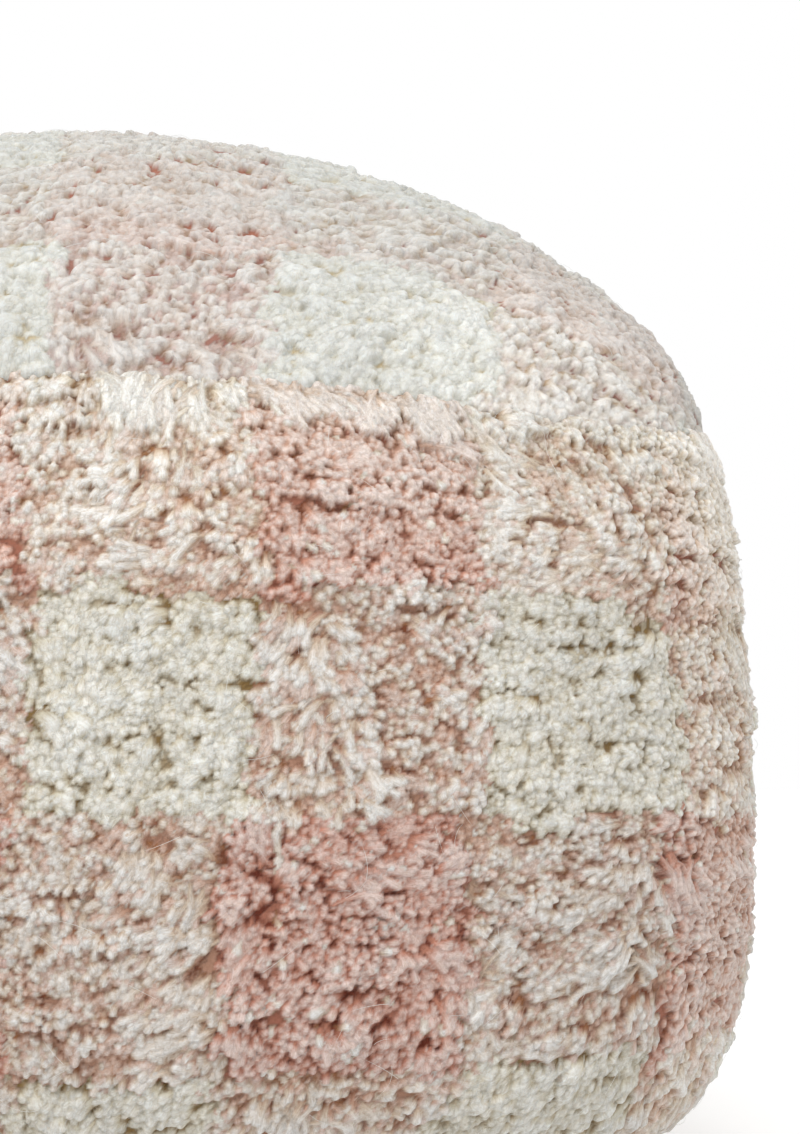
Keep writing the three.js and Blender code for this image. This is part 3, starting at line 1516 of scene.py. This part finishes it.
@dataclass
class TopPanel(PileCloth):
    """The square panel over the crown: its knots run in straight rows from left to right."""

    column_pitch: float = 0.084
    column_start: float = -0.0165
    row_borders: tuple[float, ...] = (-0.286, -0.209, -0.140, -0.063, 0.014, 0.091, 0.168, 0.245)
    fade: float = 0.30
    pale_across: float = 0.10
    pale_along: float = -0.225
    pale_reach: float = 0.05
    # Painted light: paler and brighter sides. Painted sheen and painted shade: paler and darker pile from the
    # first row on.
    side_light_fade: float = 0.30
    far_sheen_fade: float = 0.36
    painted_side_light: float = 0.17
    painted_far_shade: float = -0.05
    seam_loft: float = 0.0026
    seam_loft_reach: float = 0.045
    crown_loft: float = 0.0026
    crown_loft_reach: float = 0.14
    thin_place: float = 0.13
    thin_loft: float = 0.0042
    thin_reach: float = 0.085
    thin_depth: float = 1.3
    evenness: float = 0.8
    unevenness: float = 0.3
    edge_fall: float = 0.0028
    edge_fall_reach: float = 0.016
    edge_sink_reach: float = 0.003

    def check(self) -> Check:
        """Gives the panel's check."""
        return Check(self.column_pitch, self.column_start, self.row_borders, True, (0.0,))

    def shades_at(self, spin: Array, level: Array) -> Array:
        """Gives the tiles at places of the form."""
        down = (self.form.crown_level - level) * self.form.plan_reach(spin)
        return self.check().shades(down * np.sin(spin), -down * np.cos(spin))

    def reach(self) -> float:
        """Gives the length from the crown down to the seam at the middle of a side."""
        return self.form.crown_level - self.form.seam_level

    def down(self, across: Array, along: Array) -> Array:
        """Gives the length down the outline from the crown: the superellipse that a place lies on."""
        power = self.form.plan_fullness
        return (np.abs(across) ** power + np.abs(along) ** power) ** (1 / power)

    def inside(self, across: Array, along: Array) -> Array:
        """Tells which places of the flat cloth are on the panel."""
        return self.down(across, along) < self.reach() + self.tuck

    def surface(self, across: Array, along: Array) -> tuple[Array, Array]:
        """Gives points and outward directions. A place past the tuck is brought back to it."""
        level = self.form.crown_level - np.minimum(self.down(across, along), self.reach() + self.tuck)
        return self.settled_form(np.arctan2(across, -along), level)

    def loft(self, across: Array, along: Array) -> Array:
        """Gives how much further out the pile stands: in the hollow of the seam and at the crown.

        It is flattened a little half way to the left and the right, and places past the seam dive below
        the band.

        Args:
            across: Places across the cloth.
            along: Places along the cloth.

        Returns:
            The loft at each place.
        """
        down = self.down(across, along)
        from_seam = self.reach() - down
        loft = self.seam_loft * bell(from_seam, self.seam_loft_reach)
        loft = loft + self.crown_loft * bell(down, self.crown_loft_reach)
        flat = ((np.abs(across) - self.thin_place) / self.thin_reach) ** 4
        flat = flat + ((down - self.thin_place) / (self.thin_depth * self.thin_reach)) ** 4
        return loft - self.thin_loft * np.exp(-flat) - self.dive * np.maximum(-from_seam, 0)

    def knots(self) -> Knots:
        """Plants the panel's knots: the pile leans out and falls towards the seam.

        The dyes are faded everywhere and further towards the sides and from the first row on. The paler,
        brighter sides are painted light; the paler, darker pile from the first row on is painted sheen and
        painted shade.

        Returns:
            The knots.
        """
        edge = self.reach() + self.tuck
        across, along = self.grid((-edge, edge), (-edge, edge))
        inside = self.inside(across, along)
        across, along = across[inside], along[inside]
        check = self.check()
        lean, rise = self.nap.lie(check, across, along)
        from_seam = self.reach() - self.down(across, along)
        uneven = self.evenness + self.unevenness * self.uneven(across, along)
        fall = self.edge_fall * uneven * bell(from_seam, self.edge_fall_reach)
        lean = lean + fall[:, None] * unit(np.stack([across, along], axis=1))
        rise = rise - self.edge_sink * bell(from_seam, self.edge_sink_reach)
        # Painted light at the sides; painted sheen and painted shade from the first row on.
        pale = np.clip((np.abs(across) - self.pale_across) / self.pale_reach, 0, 1)
        far = np.clip((along - self.pale_along) / self.pale_reach, 0, 1)
        fade = self.fade + np.maximum(self.side_light_fade * pale, self.far_sheen_fade * far)
        tone = 1 + self.painted_side_light * pale * (1 - far) + self.painted_far_shade * far
        return Knots(across, along, check.shades(across, along), lean, rise, fade, tone)


@dataclass
class PileSheet:
    """One piece of pile: a fine sheet over part of a cloth, raised to the highest yarn end everywhere."""

    name: str
    cloth: SideBand | TopPanel
    box: Box
    pitch: float
    margin: float = 0.02
    lowest: float = 0.0004
    chunk: int = 3000
    own_weight: float = 10.0
    fibre_across: float = 1.5
    fibre_along: float = 0.35
    fibre_step: float = 0.731
    fibre_room: float = 3.0

    def build(self, strands: Strands, colours: YarnColours) -> Piece:
        """Builds the sheet: a grid over the flat cloth, lifted along the outward directions of the form.

        Args:
            strands: The yarn ends of the cloth.
            colours: The dyed yarns.

        Returns:
            The new object.
        """
        start, end = np.array(self.box[::2]), np.array(self.box[1::2])
        columns, rows = (round(length / self.pitch) + 1 for length in end - start)
        column_places = np.linspace(start[0], end[0], columns)
        row_places = np.linspace(start[1], end[1], rows)
        across, along = (grid.ravel() for grid in np.meshgrid(column_places, row_places))
        near = strands.near(self.box, self.margin)
        height, owner, place = self.highest(near, column_places, row_places)
        height = self.softened(height.reshape(rows, columns)).ravel()
        colour = self.coloured(near, owner, height, across, along, colours)
        points, outward = self.cloth.surface(across, along)
        points = points + outward * (height + self.cloth.loft(across, along))[:, None]
        points[:, 2] = np.maximum(points[:, 2], self.lowest)
        first = (np.arange(rows - 1)[:, None] * columns + np.arange(columns - 1)).ravel()
        quads = np.stack([first, first + 1, first + columns + 1, first + columns], axis=1)
        quads = quads[self.cloth.inside(across, along)[quads].any(axis=1)]
        used = np.unique(quads)
        renumbered = np.zeros(rows * columns, dtype=np.int64)
        renumbered[used] = np.arange(len(used))
        flat = (np.stack([across, along], axis=1) - start) / (end - start)
        mesh = new_mesh(self.name, points[used], renumbered[quads])
        add_colours(mesh, colour[used])
        layer = mesh.attributes.new(PLACE_LAYER, "FLOAT_VECTOR", "POINT")
        layer.data.foreach_set("vector", place[used].astype(np.float32).ravel())
        mesh.uv_layers.new(name=BAKE_LAYER)
        mesh.uv_layers[BAKE_LAYER].uv.foreach_set("vector", flat[quads.ravel()].astype(np.float32).ravel())
        return add_piece(self.name, mesh)

    def highest(
        self, strands: Strands, column_places: Array, row_places: Array
    ) -> tuple[Array, Array, Array]:
        """Finds the highest yarn end at every place of the grid.

        A yarn end is a half round bar with a round tip: its height is the tip's rise, less the drop along
        the body, less the fall of a flattened circle away from its bent middle line. Yarn ends are worked in
        chunks, each over a square of grid places round its middle, and sorted by height at the end.

        Args:
            strands: The yarn ends near this piece.
            column_places: Places of the columns of the grid.
            row_places: Places of the rows of the grid.

        Returns:
            Heights, the yarn end at each place or -1, and fibre places.
        """
        yarn, columns, rows = self.cloth.yarn, len(column_places), len(row_places)
        step = np.array([column_places[1] - column_places[0], row_places[1] - row_places[0]])
        start = np.array([column_places[0], row_places[0]])
        margin = math.ceil((strands.length.max() / 2 + strands.radius.max()) / step.min())
        reach = np.arange(-margin, margin + 1)
        offset = np.stack(np.meshgrid(reach, reach), axis=-1).reshape(-1, 2)
        found = []
        for begin in range(0, len(strands.length), self.chunk):
            part = np.arange(begin, min(begin + self.chunk, len(strands.length)))
            middle = strands.tip[part] - strands.heading[part] * strands.length[part, None] / 2
            cell = np.round((middle - start) / step).astype(int)[:, None, :] + offset[None]
            away = start + cell * step - strands.tip[part, None, :]
            heading = strands.heading[part, None, :]
            back = -(away * heading).sum(axis=-1)
            side = away[..., 1] * heading[..., 0] - away[..., 0] * heading[..., 1]
            side = side - strands.bend[part, None] * np.maximum(back, 0) ** 2
            from_line = side**2 + np.minimum(back, 0) ** 2
            inside = (from_line < strands.radius[part, None] ** 2) & (back < strands.length[part, None])
            inside &= (cell >= 0).all(axis=-1) & (cell[..., 0] < columns) & (cell[..., 1] < rows)
            which, where = np.nonzero(inside)
            end = part[which]
            radius = strands.radius[end]
            own_back, own_side = np.maximum(back[which, where], 0), side[which, where]
            share = from_line[which, where] / radius**2
            fall = radius * (1 - (1 - share**yarn.profile_power) ** 0.5)
            dropped = strands.drop[end] * own_back / strands.length[end]
            height = strands.rise[end] - dropped - yarn.roundness * fall
            index = cell[which, where, 1] * columns + cell[which, where, 0]
            found.append((index, height, end, own_side / radius, own_back / radius))
        index, height, end, side, back = (np.concatenate(values) for values in zip(*found))
        order = np.argsort(height, kind="stable")
        highest = np.full(rows * columns, -yarn.floor)
        owner = np.full(rows * columns, -1)
        place = np.zeros((rows * columns, 3))
        highest[index[order]] = np.maximum(height[order], -yarn.floor)
        owner[index[order]] = end[order]
        shift = end * self.fibre_step % self.fibre_room
        local = np.stack([self.fibre_across * side, self.fibre_along * back, shift], axis=1)
        place[index[order]] = local[order]
        return highest, owner, place

    def softened(self, height: Array) -> Array:
        """Softens heights a little: each is averaged with its neighbours, its own weight far greater.

        Args:
            height: Heights in rows and columns.

        Returns:
            The softened heights.
        """
        own = self.own_weight
        padded = np.pad(height, 1, mode="edge")
        rows = (padded[:-2] + own * padded[1:-1] + padded[2:]) / (own + 2)
        return (rows[:, :-2] + own * rows[:, 1:-1] + rows[:, 2:]) / (own + 2)

    def coloured(
        self, strands: Strands, owner: Array, height: Array, across: Array, along: Array, colours: YarnColours
    ) -> Array:
        """Colours the grid: the dye of the yarn end on top, from its tip colour down to its root colour.

        Gaps between yarn ends take a deep colour of their tile, between its body and root colours, as painted
        shade. Deeper places of a yarn end take more of its darker root colour, which is painted shade, and
        higher places more of its tip colour, which is partly painted highlight.

        Args:
            strands: The yarn ends near this piece.
            owner: The yarn end at each place or -1.
            height: Softened heights.
            across: Places across the cloth.
            along: Places along the cloth.
            colours: The dyed yarns.

        Returns:
            Linear colours.
        """
        table, has_end, count = colours.table(), owner >= 0, len(owner)
        own = owner[has_end]
        dye = self.cloth.check().shades(across, along)
        dye[has_end] = strands.dye[own]
        tint, fade, below_tip = np.ones((count, 3)), np.zeros(count), np.zeros(count)
        tint[has_end] = strands.tint[own]
        fade[has_end] = strands.fade[own]
        below_tip[has_end] = strands.rise[own] - height[has_end]
        ramp = table[dye] + (table[Dyed.CREAM.value] - table[dye]) * fade[:, None, None]
        # Painted shade: the deeper a place, below the pile and below its own tip, the more root colour it
        # takes.
        depth = colours.pile_share * (-height - colours.pile_start) / colours.pile_depth
        depth = np.clip(depth + colours.own_share * below_tip / colours.own_depth, 0, 1)
        depth[~has_end] = colours.gap_depth
        root, tip = np.clip(2 * depth - 1, 0, 1), np.clip(1 - 2 * depth, 0, 1)
        share = np.stack([root, 1 - np.abs(2 * depth - 1), tip], axis=1)
        return np.clip((ramp * share[:, :, None]).sum(axis=1) * tint, colours.darkest, colours.palest)


@dataclass
class StuffedCore:
    """A stuffed body below the pile, closed, that stands for a CAD solid; its colour is the painted shade
    that shows between the knots.
    """

    name: str
    cloth: SideBand | TopPanel
    first_level: float
    last_level: float
    depth: float = 0.0105
    crown_gap: float = 0.004
    columns: int = 160
    rows: int = 40

    def levels(self) -> Array:
        """Gives the levels of the rings, which stop just short of the crown."""
        highest = self.cloth.form.crown_level - self.crown_gap
        return np.linspace(self.first_level, min(self.last_level, highest), self.rows)

    def settle(self, piece: Piece) -> Settled | None:
        """Args:
            piece: The body.

        Returns:
            The movement over the form, or nothing.
        """
        count = self.columns * self.rows
        held = np.arange(2 * self.columns)
        if self.last_level < self.cloth.form.crown_level:
            held = np.concatenate([held, np.arange(count - 2 * self.columns, count), [count + 1]])
        movement = Filling().settle(piece, np.append(held, count))
        levels = self.levels()
        return Settled(movement[:count].reshape(self.rows, self.columns, 3), levels[0], levels[-1])

    def build(self, colours: YarnColours) -> Piece:
        """Builds the closed body: rings of the form between two levels, with a pole at each end.

        Args:
            colours: The dyed yarns, whose shaded tone shows between the knots.

        Returns:
            The new object.
        """
        form = self.cloth.form
        spin = np.linspace(-np.pi, np.pi, self.columns, endpoint=False)
        spins, levels = np.meshgrid(spin, self.levels())
        points, _ = form.stuffed(spins, levels, self.depth)
        points[..., 2] = np.maximum(points[..., 2], form.foot_height)
        poles = points[[0, -1]].mean(axis=1)
        poles[:, :2] = 0
        mesh = closed_rings(self.name, points, *poles)
        pole_shades = (Shade.CREAM.value, Shade.CREAM.value)
        shade = np.append(self.cloth.shades_at(spins.ravel(), levels.ravel()), pole_shades)
        # The core is coloured with painted shade: the root colours of its tiles.
        add_colours(mesh, colours.shaded(shade))
        return add_piece(self.name, mesh)


@dataclass
class Tubes:
    """Thin tubes along many short lines, as arrays of line points."""

    lines: Array
    steepest: float = 0.8

    def make(self, name: str, radius: Array, sides: int, colours: Array | None = None) -> Piece:
        """Builds the tubes: a ring of points round each line point, square to the line.

        Args:
            name: Name of the piece.
            radius: Radius at each point of a line.
            sides: Points of a ring.
            colours: A colour for each tube, if the material reads one.

        Returns:
            The new object.
        """
        count, stations = self.lines.shape[:2]
        axis = unit(np.gradient(self.lines, axis=1))
        is_level = np.abs(axis[..., 2:]) < self.steepest
        helper = np.where(is_level, np.array([0.0, 0.0, 1.0]), np.array([1.0, 0.0, 0.0]))
        first = unit(np.cross(axis, helper))
        second = np.cross(axis, first)
        angle = 2 * np.pi * np.arange(sides) / sides
        ring = first[:, :, None, :] * np.cos(angle)[:, None] + second[:, :, None, :] * np.sin(angle)[:, None]
        points = self.lines[:, :, None, :] + ring * radius[None, :, None, None]
        start = np.arange(count)[:, None, None] * stations * sides
        faces = (ring_quads(stations, sides)[None] + start).reshape(-1, 4)
        mesh = new_mesh(name, points.reshape(-1, 3), faces)
        if colours is not None:
            add_colours(mesh, np.repeat(colours, stations * sides, axis=0))
        return add_piece(name, mesh)


@dataclass
class BaseCloth:
    """The plain cloth under the pouf: flat on the floor, turned up at its edge, sewn to the band."""

    form: PoufForm
    name: str = "base_cloth"
    thickness: float = 0.003
    inset: float = 0.004
    turn_up: float = 0.0016
    turn_share: float = 0.06
    pucker: float = 0.0005
    innermost: float = 0.002
    columns: int = 190
    rings: int = 26
    stitches: int = 190
    stitch_length: float = 0.0062
    stitch_radius: float = 0.0005
    stitch_slant: float = 0.35
    stitch_inset: float = 0.0015
    stitch_low: float = 0.45
    stitch_high: float = 1.3
    stitch_places: tuple[float, ...] = (0.0, 0.3, 0.7, 1.0)
    stitch_widths: tuple[float, ...] = (0.2, 1.0, 1.0, 0.2)
    stitch_sides: int = 6

    def edge(self, spin: Array) -> Array:
        """Gives the reach of the base's edge at a spin."""
        return self.form.radii[0] * self.form.plan_reach(spin) - self.inset

    def build(self) -> Piece:
        """Builds the cloth as a closed slab: rings from the middle of its underside to the middle of its top.

        The underside lies at the floor. Near the edge it turns up by a smooth step and puckers by a sine
        that runs with the stitches.

        Returns:
            The new object.
        """
        spin = np.linspace(-np.pi, np.pi, self.columns, endpoint=False)
        share = np.sqrt(np.linspace(self.innermost, 1.0, self.rings))
        spins, shares = np.meshgrid(spin, share)
        near = smooth_step((shares - 1 + self.turn_share) / self.turn_share)
        low = near * (self.turn_up - self.pucker * np.sin(self.stitches / 2 * spins))
        reach = shares * self.edge(spins)
        under = np.stack([reach * np.sin(spins), -reach * np.cos(spins), low], axis=-1)
        over = under.copy()
        over[..., 2] = self.thickness
        rings = np.concatenate([under, over[::-1]])
        mesh = closed_rings(self.name, rings, np.zeros(3), np.array([0.0, 0.0, self.thickness]))
        return add_piece(self.name, mesh)

    def sew(self) -> Piece:
        """Sews the edge: short slanted threads across it, each a spindle with two full rings.

        Returns:
            The new object.
        """
        spin = np.linspace(-np.pi, np.pi, self.stitches, endpoint=False)
        slant = self.stitch_slant * self.stitch_length / self.edge(spin)
        ends = []
        for side, rise in ((-1, self.stitch_low), (1, self.stitch_high)):
            reach = self.edge(spin) - self.stitch_inset + side * self.stitch_length / 2
            turned, height = spin + side * slant, np.full(self.stitches, self.turn_up * rise)
            ends.append(np.stack([reach * np.sin(turned), -reach * np.cos(turned), height], axis=1))
        place = np.array(self.stitch_places)[:, None]
        lines = ends[0][:, None] * (1 - place) + ends[1][:, None] * place
        widths = self.stitch_radius * np.array(self.stitch_widths)
        return Tubes(lines).make("base_stitches", widths, self.stitch_sides)


@dataclass
class StrayFibres:
    """Loose fibres over the pile, and a few short dark specks among them."""

    cloth: SideBand | TopPanel
    count: int
    seed: int
    length: float = 0.010
    length_range: tuple[float, float] = (0.4, 1.5)
    radius: float = 0.00007
    widths: tuple[float, ...] = (1.0, 1.0, 0.9, 0.7, 0.3)
    sides: int = 3
    curl: float = 0.0030
    lift: float = 0.0016
    lift_range: tuple[float, float] = (-0.2, 1.0)
    lowest: float = 0.0006
    speck_share: float = 0.06
    speck_length: float = 0.1
    speck_colour: Triple = linear(96, 80, 62)

    def build(self, name: str, box: Box, colour: Triple) -> Piece:
        """Builds the fibres: each runs over the pile from a random place, bends sideways and lifts off.

        Args:
            name: Name of the piece.
            box: First and last place across, first and last place along.
            colour: Colour of the fibres.

        Returns:
            The new object.
        """
        rng, count = np.random.default_rng(self.seed), self.count
        start = np.stack([rng.uniform(*box[:2], count), rng.uniform(*box[2:], count)], axis=1)
        is_speck = rng.random(count) < self.speck_share
        angle = rng.uniform(0, 2 * np.pi, count)
        ahead = np.stack([np.cos(angle), np.sin(angle)], axis=1)
        aside = np.stack([-np.sin(angle), np.cos(angle)], axis=1)
        length = self.length * rng.uniform(*self.length_range, count)
        length = length * np.where(is_speck, self.speck_length, 1.0)
        share = np.linspace(0, 1, len(self.widths))
        bend = rng.normal(0, self.curl, count) * np.where(is_speck, 0.0, 1.0)
        run = start[:, None] + ahead[:, None] * (length[:, None] * share)[..., None]
        run = run + aside[:, None] * (bend[:, None] * share**2)[..., None]
        run = np.clip(run, (box[0], box[2]), (box[1], box[3]))
        across, along = run[..., 0].ravel(), run[..., 1].ravel()
        points, outward = self.cloth.surface(across, along)
        rise = rng.uniform(*self.lift_range, (count, 1)) * self.lift * np.sin(np.pi * share)
        rise = rise.ravel() + self.cloth.loft(across, along)
        lines = (points + outward * rise[:, None]).reshape(count, -1, 3)
        lines[..., 2] = np.maximum(lines[..., 2], self.lowest)
        colours = np.where(is_speck[:, None], self.speck_colour, colour)
        return Tubes(lines).make(name, self.radius * np.array(self.widths), self.sides, colours)


@dataclass(frozen=True)
class Lamp:
    """A square softbox: where it hangs, the length of its side and its power in watts."""

    name: str
    place: Triple
    size: float
    power: float

    def hang(self, target: Triple) -> None:
        """Hangs the lamp.

        Args:
            target: What it faces.
        """
        data = bpy.data.lights.new(self.name, "AREA")
        data.size = self.size
        data.energy = self.power
        lamp = bpy.data.objects.new(self.name, data)
        lamp.location = self.place
        facing = Vector(target) - Vector(self.place)
        lamp.rotation_euler = facing.to_track_quat("-Z", "Y").to_euler()
        bpy.context.scene.collection.objects.link(lamp)


@dataclass
class Studio:
    """A plain white floor, soft light from above and in front, and the camera at the photo's angle."""

    camera_distance: float = 1.243
    eye_height: float = 0.1646
    turn_right: float = 5.788
    tilt_up: float = 2.964
    focal_pixels: float = 3012.0
    sensor_width: float = 36.0
    floor_size: float = 12.0
    floor_tone: float = 0.55
    floor_roughness: float = 0.9
    floor_glow: float = 0.5
    target: Triple = (0.0, 0.0, 0.2)
    lamps: tuple[Lamp, ...] = (
        Lamp("overhead", (-0.42, -1.15, 1.45), 1.5, 22.5),
        Lamp("front", (-1.1, -2.0, 0.9), 1.6, 1.0),
    )

    def build(self) -> None:
        """Builds the floor, the world, the lamps and the camera."""
        scene = bpy.context.scene
        scene.view_settings.view_transform = "Standard"
        self.floor()
        world = bpy.data.worlds.new("studio")
        world.use_nodes = True
        world.node_tree.nodes["Background"].inputs["Color"].default_value = (1, 1, 1, 1)
        world.node_tree.nodes["Background"].inputs["Strength"].default_value = 1.0
        scene.world = world
        for lamp in self.lamps:
            lamp.hang(self.target)
        data = bpy.data.cameras.new("photo_camera")
        data.sensor_width = self.sensor_width
        data.lens = self.focal_pixels / PHOTO_HEIGHT * data.sensor_width
        camera = bpy.data.objects.new("photo_camera", data)
        camera.location = (0, -self.camera_distance, self.eye_height)
        camera.rotation_euler = (math.radians(90 + self.tilt_up), 0, math.radians(-self.turn_right))
        scene.collection.objects.link(camera)
        scene.camera = camera

    def floor(self) -> None:
        """Lays a pale floor that glows a little, as a lit studio table does."""
        half = self.floor_size / 2
        mesh = bpy.data.meshes.new("floor")
        corners = [(-half, -half, 0), (half, -half, 0), (half, half, 0), (-half, half, 0)]
        mesh.from_pydata(corners, [], [(0, 1, 2, 3)])
        floor = add_piece("floor", mesh)
        constants = {
            "Base Color": (self.floor_tone, self.floor_tone, self.floor_tone, 1),
            "Roughness": self.floor_roughness,
            "Emission Color": (1, 1, 1, 1),
            "Emission Strength": self.floor_glow,
        }
        material, _ = new_material("pale_floor", constants)
        mesh.materials.append(material)


def dress(piece: Piece, material: Material) -> None:
    """Gives a piece its material, makes it ride on the body and reports it.

    Args:
        piece: The piece.
        material: Its material.
    """
    piece.data.materials.append(material)
    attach(piece, BODY)
    triangles = sum(len(polygon.vertices) - 2 for polygon in piece.data.polygons)
    LOG.info("%s: %d triangles", piece.name, triangles)


def dress_band(form: PoufForm, colours: YarnColours, painted_shade: Material) -> SideBand:
    """Builds the band's core, which carries the painted shade between the knots, and settles it.

    Args:
        form: The stuffed form.
        colours: The dyed yarns.
        painted_shade: Material between the knots.

    Returns:
        The band.
    """
    band = SideBand(form, Yarn(), Nap(seed=100, patch_seed=3530, heading_seed=4168))
    sides = StuffedCore("band_core", band, 0.0, form.seam_level)
    band_core = sides.build(colours)
    band.settled = sides.settle(band_core)
    dress(band_core, painted_shade)
    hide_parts("side_band")
    return band


def dress_panel(form: PoufForm, colours: YarnColours, painted_shade: Material) -> TopPanel:
    """Builds the top panel's core, which carries the painted shade between the knots, and settles it.

    Args:
        form: The stuffed form.
        colours: The dyed yarns.
        painted_shade: Material between the knots.

    Returns:
        The top panel, whose pile is shorter and lies less than the band's.
    """
    yarn = Yarn(
        roundness=1.0, knot_rise=0.0003, drop=0.0030, under_sink=0.0014, tan_sink=0.0015, floor=0.0027
    )
    nap = Nap(seed=300, patch_seed=301, heading_seed=302, laid_lean=0.0022, groove=0.0014)
    panel = TopPanel(form, yarn, nap)
    crown = StuffedCore("crown_core", panel, form.seam_level, form.crown_level)
    crown_core = crown.build(colours)
    panel.settled = crown.settle(crown_core)
    dress(crown_core, painted_shade)
    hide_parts("top_panel")
    return panel


def pile_band(band: SideBand, colours: YarnColours) -> None:
    """Builds the band's pile in five sheets, which overlap by a millimetre or less.

    The two sheets that the photo shows are finer.

    Args:
        band: The band.
        colours: The dyed yarns.
    """
    wool = WoolFinish("side_wool").material()
    half, seam = band.form.girth / 2, band.form.seam_level + band.tuck
    ends = WoolPile(band.yarn, colours, seed=200).grow(band.knots()).joined(band.form.girth, JOIN_MARGIN)
    for name, first, last, pitch in (
        ("band_pile_left", -half - 0.001, -0.44, BAND_COARSE_PITCH),
        ("band_pile_front_left", -0.441, -0.044, BAND_COARSE_PITCH),
        ("band_pile_front", -0.045, 0.1355, BAND_FINE_PITCH),
        ("band_pile_corner", 0.135, 0.315, BAND_FINE_PITCH),
        ("band_pile_right", 0.314, half, BAND_COARSE_PITCH),
    ):
        sheet = PileSheet(name, band, (first, last, 0.0, seam), pitch)
        dress(sheet.build(ends, colours), wool)


def pile_panel(panel: TopPanel) -> None:
    """Builds the top panel's pile in three sheets, which overlap a little.

    The sheet that the photo shows is finer.

    Args:
        panel: The top panel.
    """
    wool = WoolFinish("top_wool", streaks=0.55).material()
    # The root colours are painted shade for the deep places and the tip colours are partly painted highlight,
    # as on the band.
    colours = YarnColours(
        cream=Dye(tip=linear(195, 197, 194), body=linear(189, 188, 178), root=linear(168, 153, 122)),
        tan=Dye(tip=linear(193, 175, 170), body=linear(162, 122, 110), root=linear(103, 55, 40)),
        blush=Dye(tip=linear(202, 197, 194), body=linear(184, 167, 158), root=linear(123, 80, 63)),
    )
    reach = panel.reach() + panel.tuck
    ends = WoolPile(panel.yarn, colours, seed=400).grow(panel.knots())
    for name, box, pitch in (
        ("crown_pile_front", (-0.045, reach, -reach, -0.06), TOP_FINE_PITCH),
        ("crown_pile_left", (-reach, -0.043, -reach, -0.058), TOP_COARSE_PITCH),
        ("crown_pile_back", (-reach, reach, -0.062, reach), TOP_COARSE_PITCH),
    ):
        dress(PileSheet(name, panel, box, pitch).build(ends, colours), wool)


def scatter_fibres(band: SideBand, panel: TopPanel, colour: Triple) -> None:
    """Scatters loose fibres over the band and over the middle square of the top panel.

    Args:
        band: The band.
        panel: The top panel.
        colour: Colour of the fibres.
    """
    fibre = FibreFinish().material()
    half, square = band.form.girth / 2, panel.reach() * FIBRE_SQUARE
    band_box = (-half, half, FIBRE_FOOT, band.form.seam_level)
    dress(StrayFibres(band, 620, seed=500).build("band_fibres", band_box, colour), fibre)
    top_box = (-square, square, -square, square)
    dress(StrayFibres(panel, 300, seed=600).build("crown_fibres", top_box, colour), fibre)


def lay_base(form: PoufForm) -> None:
    """Builds the base cloth and its stitches.

    Args:
        form: The stuffed form.
    """
    base = BaseCloth(form)
    canvas = CanvasFinish().material()
    base_cloth = base.build()
    dress(base_cloth, canvas)
    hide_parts("base_panel")
    dress(base.sew(), canvas)


def main() -> None:
    """Loads the frame and builds the cores, the pile, the base and the studio in order."""
    logging.basicConfig(level=logging.INFO, format="%(name)s: %(message)s")
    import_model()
    form = PoufForm()
    colours = YarnColours()
    # Material of the painted shade that shows between the knots.
    painted_shade = PaintedShadeFinish().material()
    panel = dress_panel(form, colours, painted_shade)
    band = dress_band(form, colours, painted_shade)
    pile_band(band, colours)
    pile_panel(panel)
    scatter_fibres(band, panel, colours.cream.tip)
    lay_base(form)
    Studio().build()


if __name__ == "__main__":
    main()
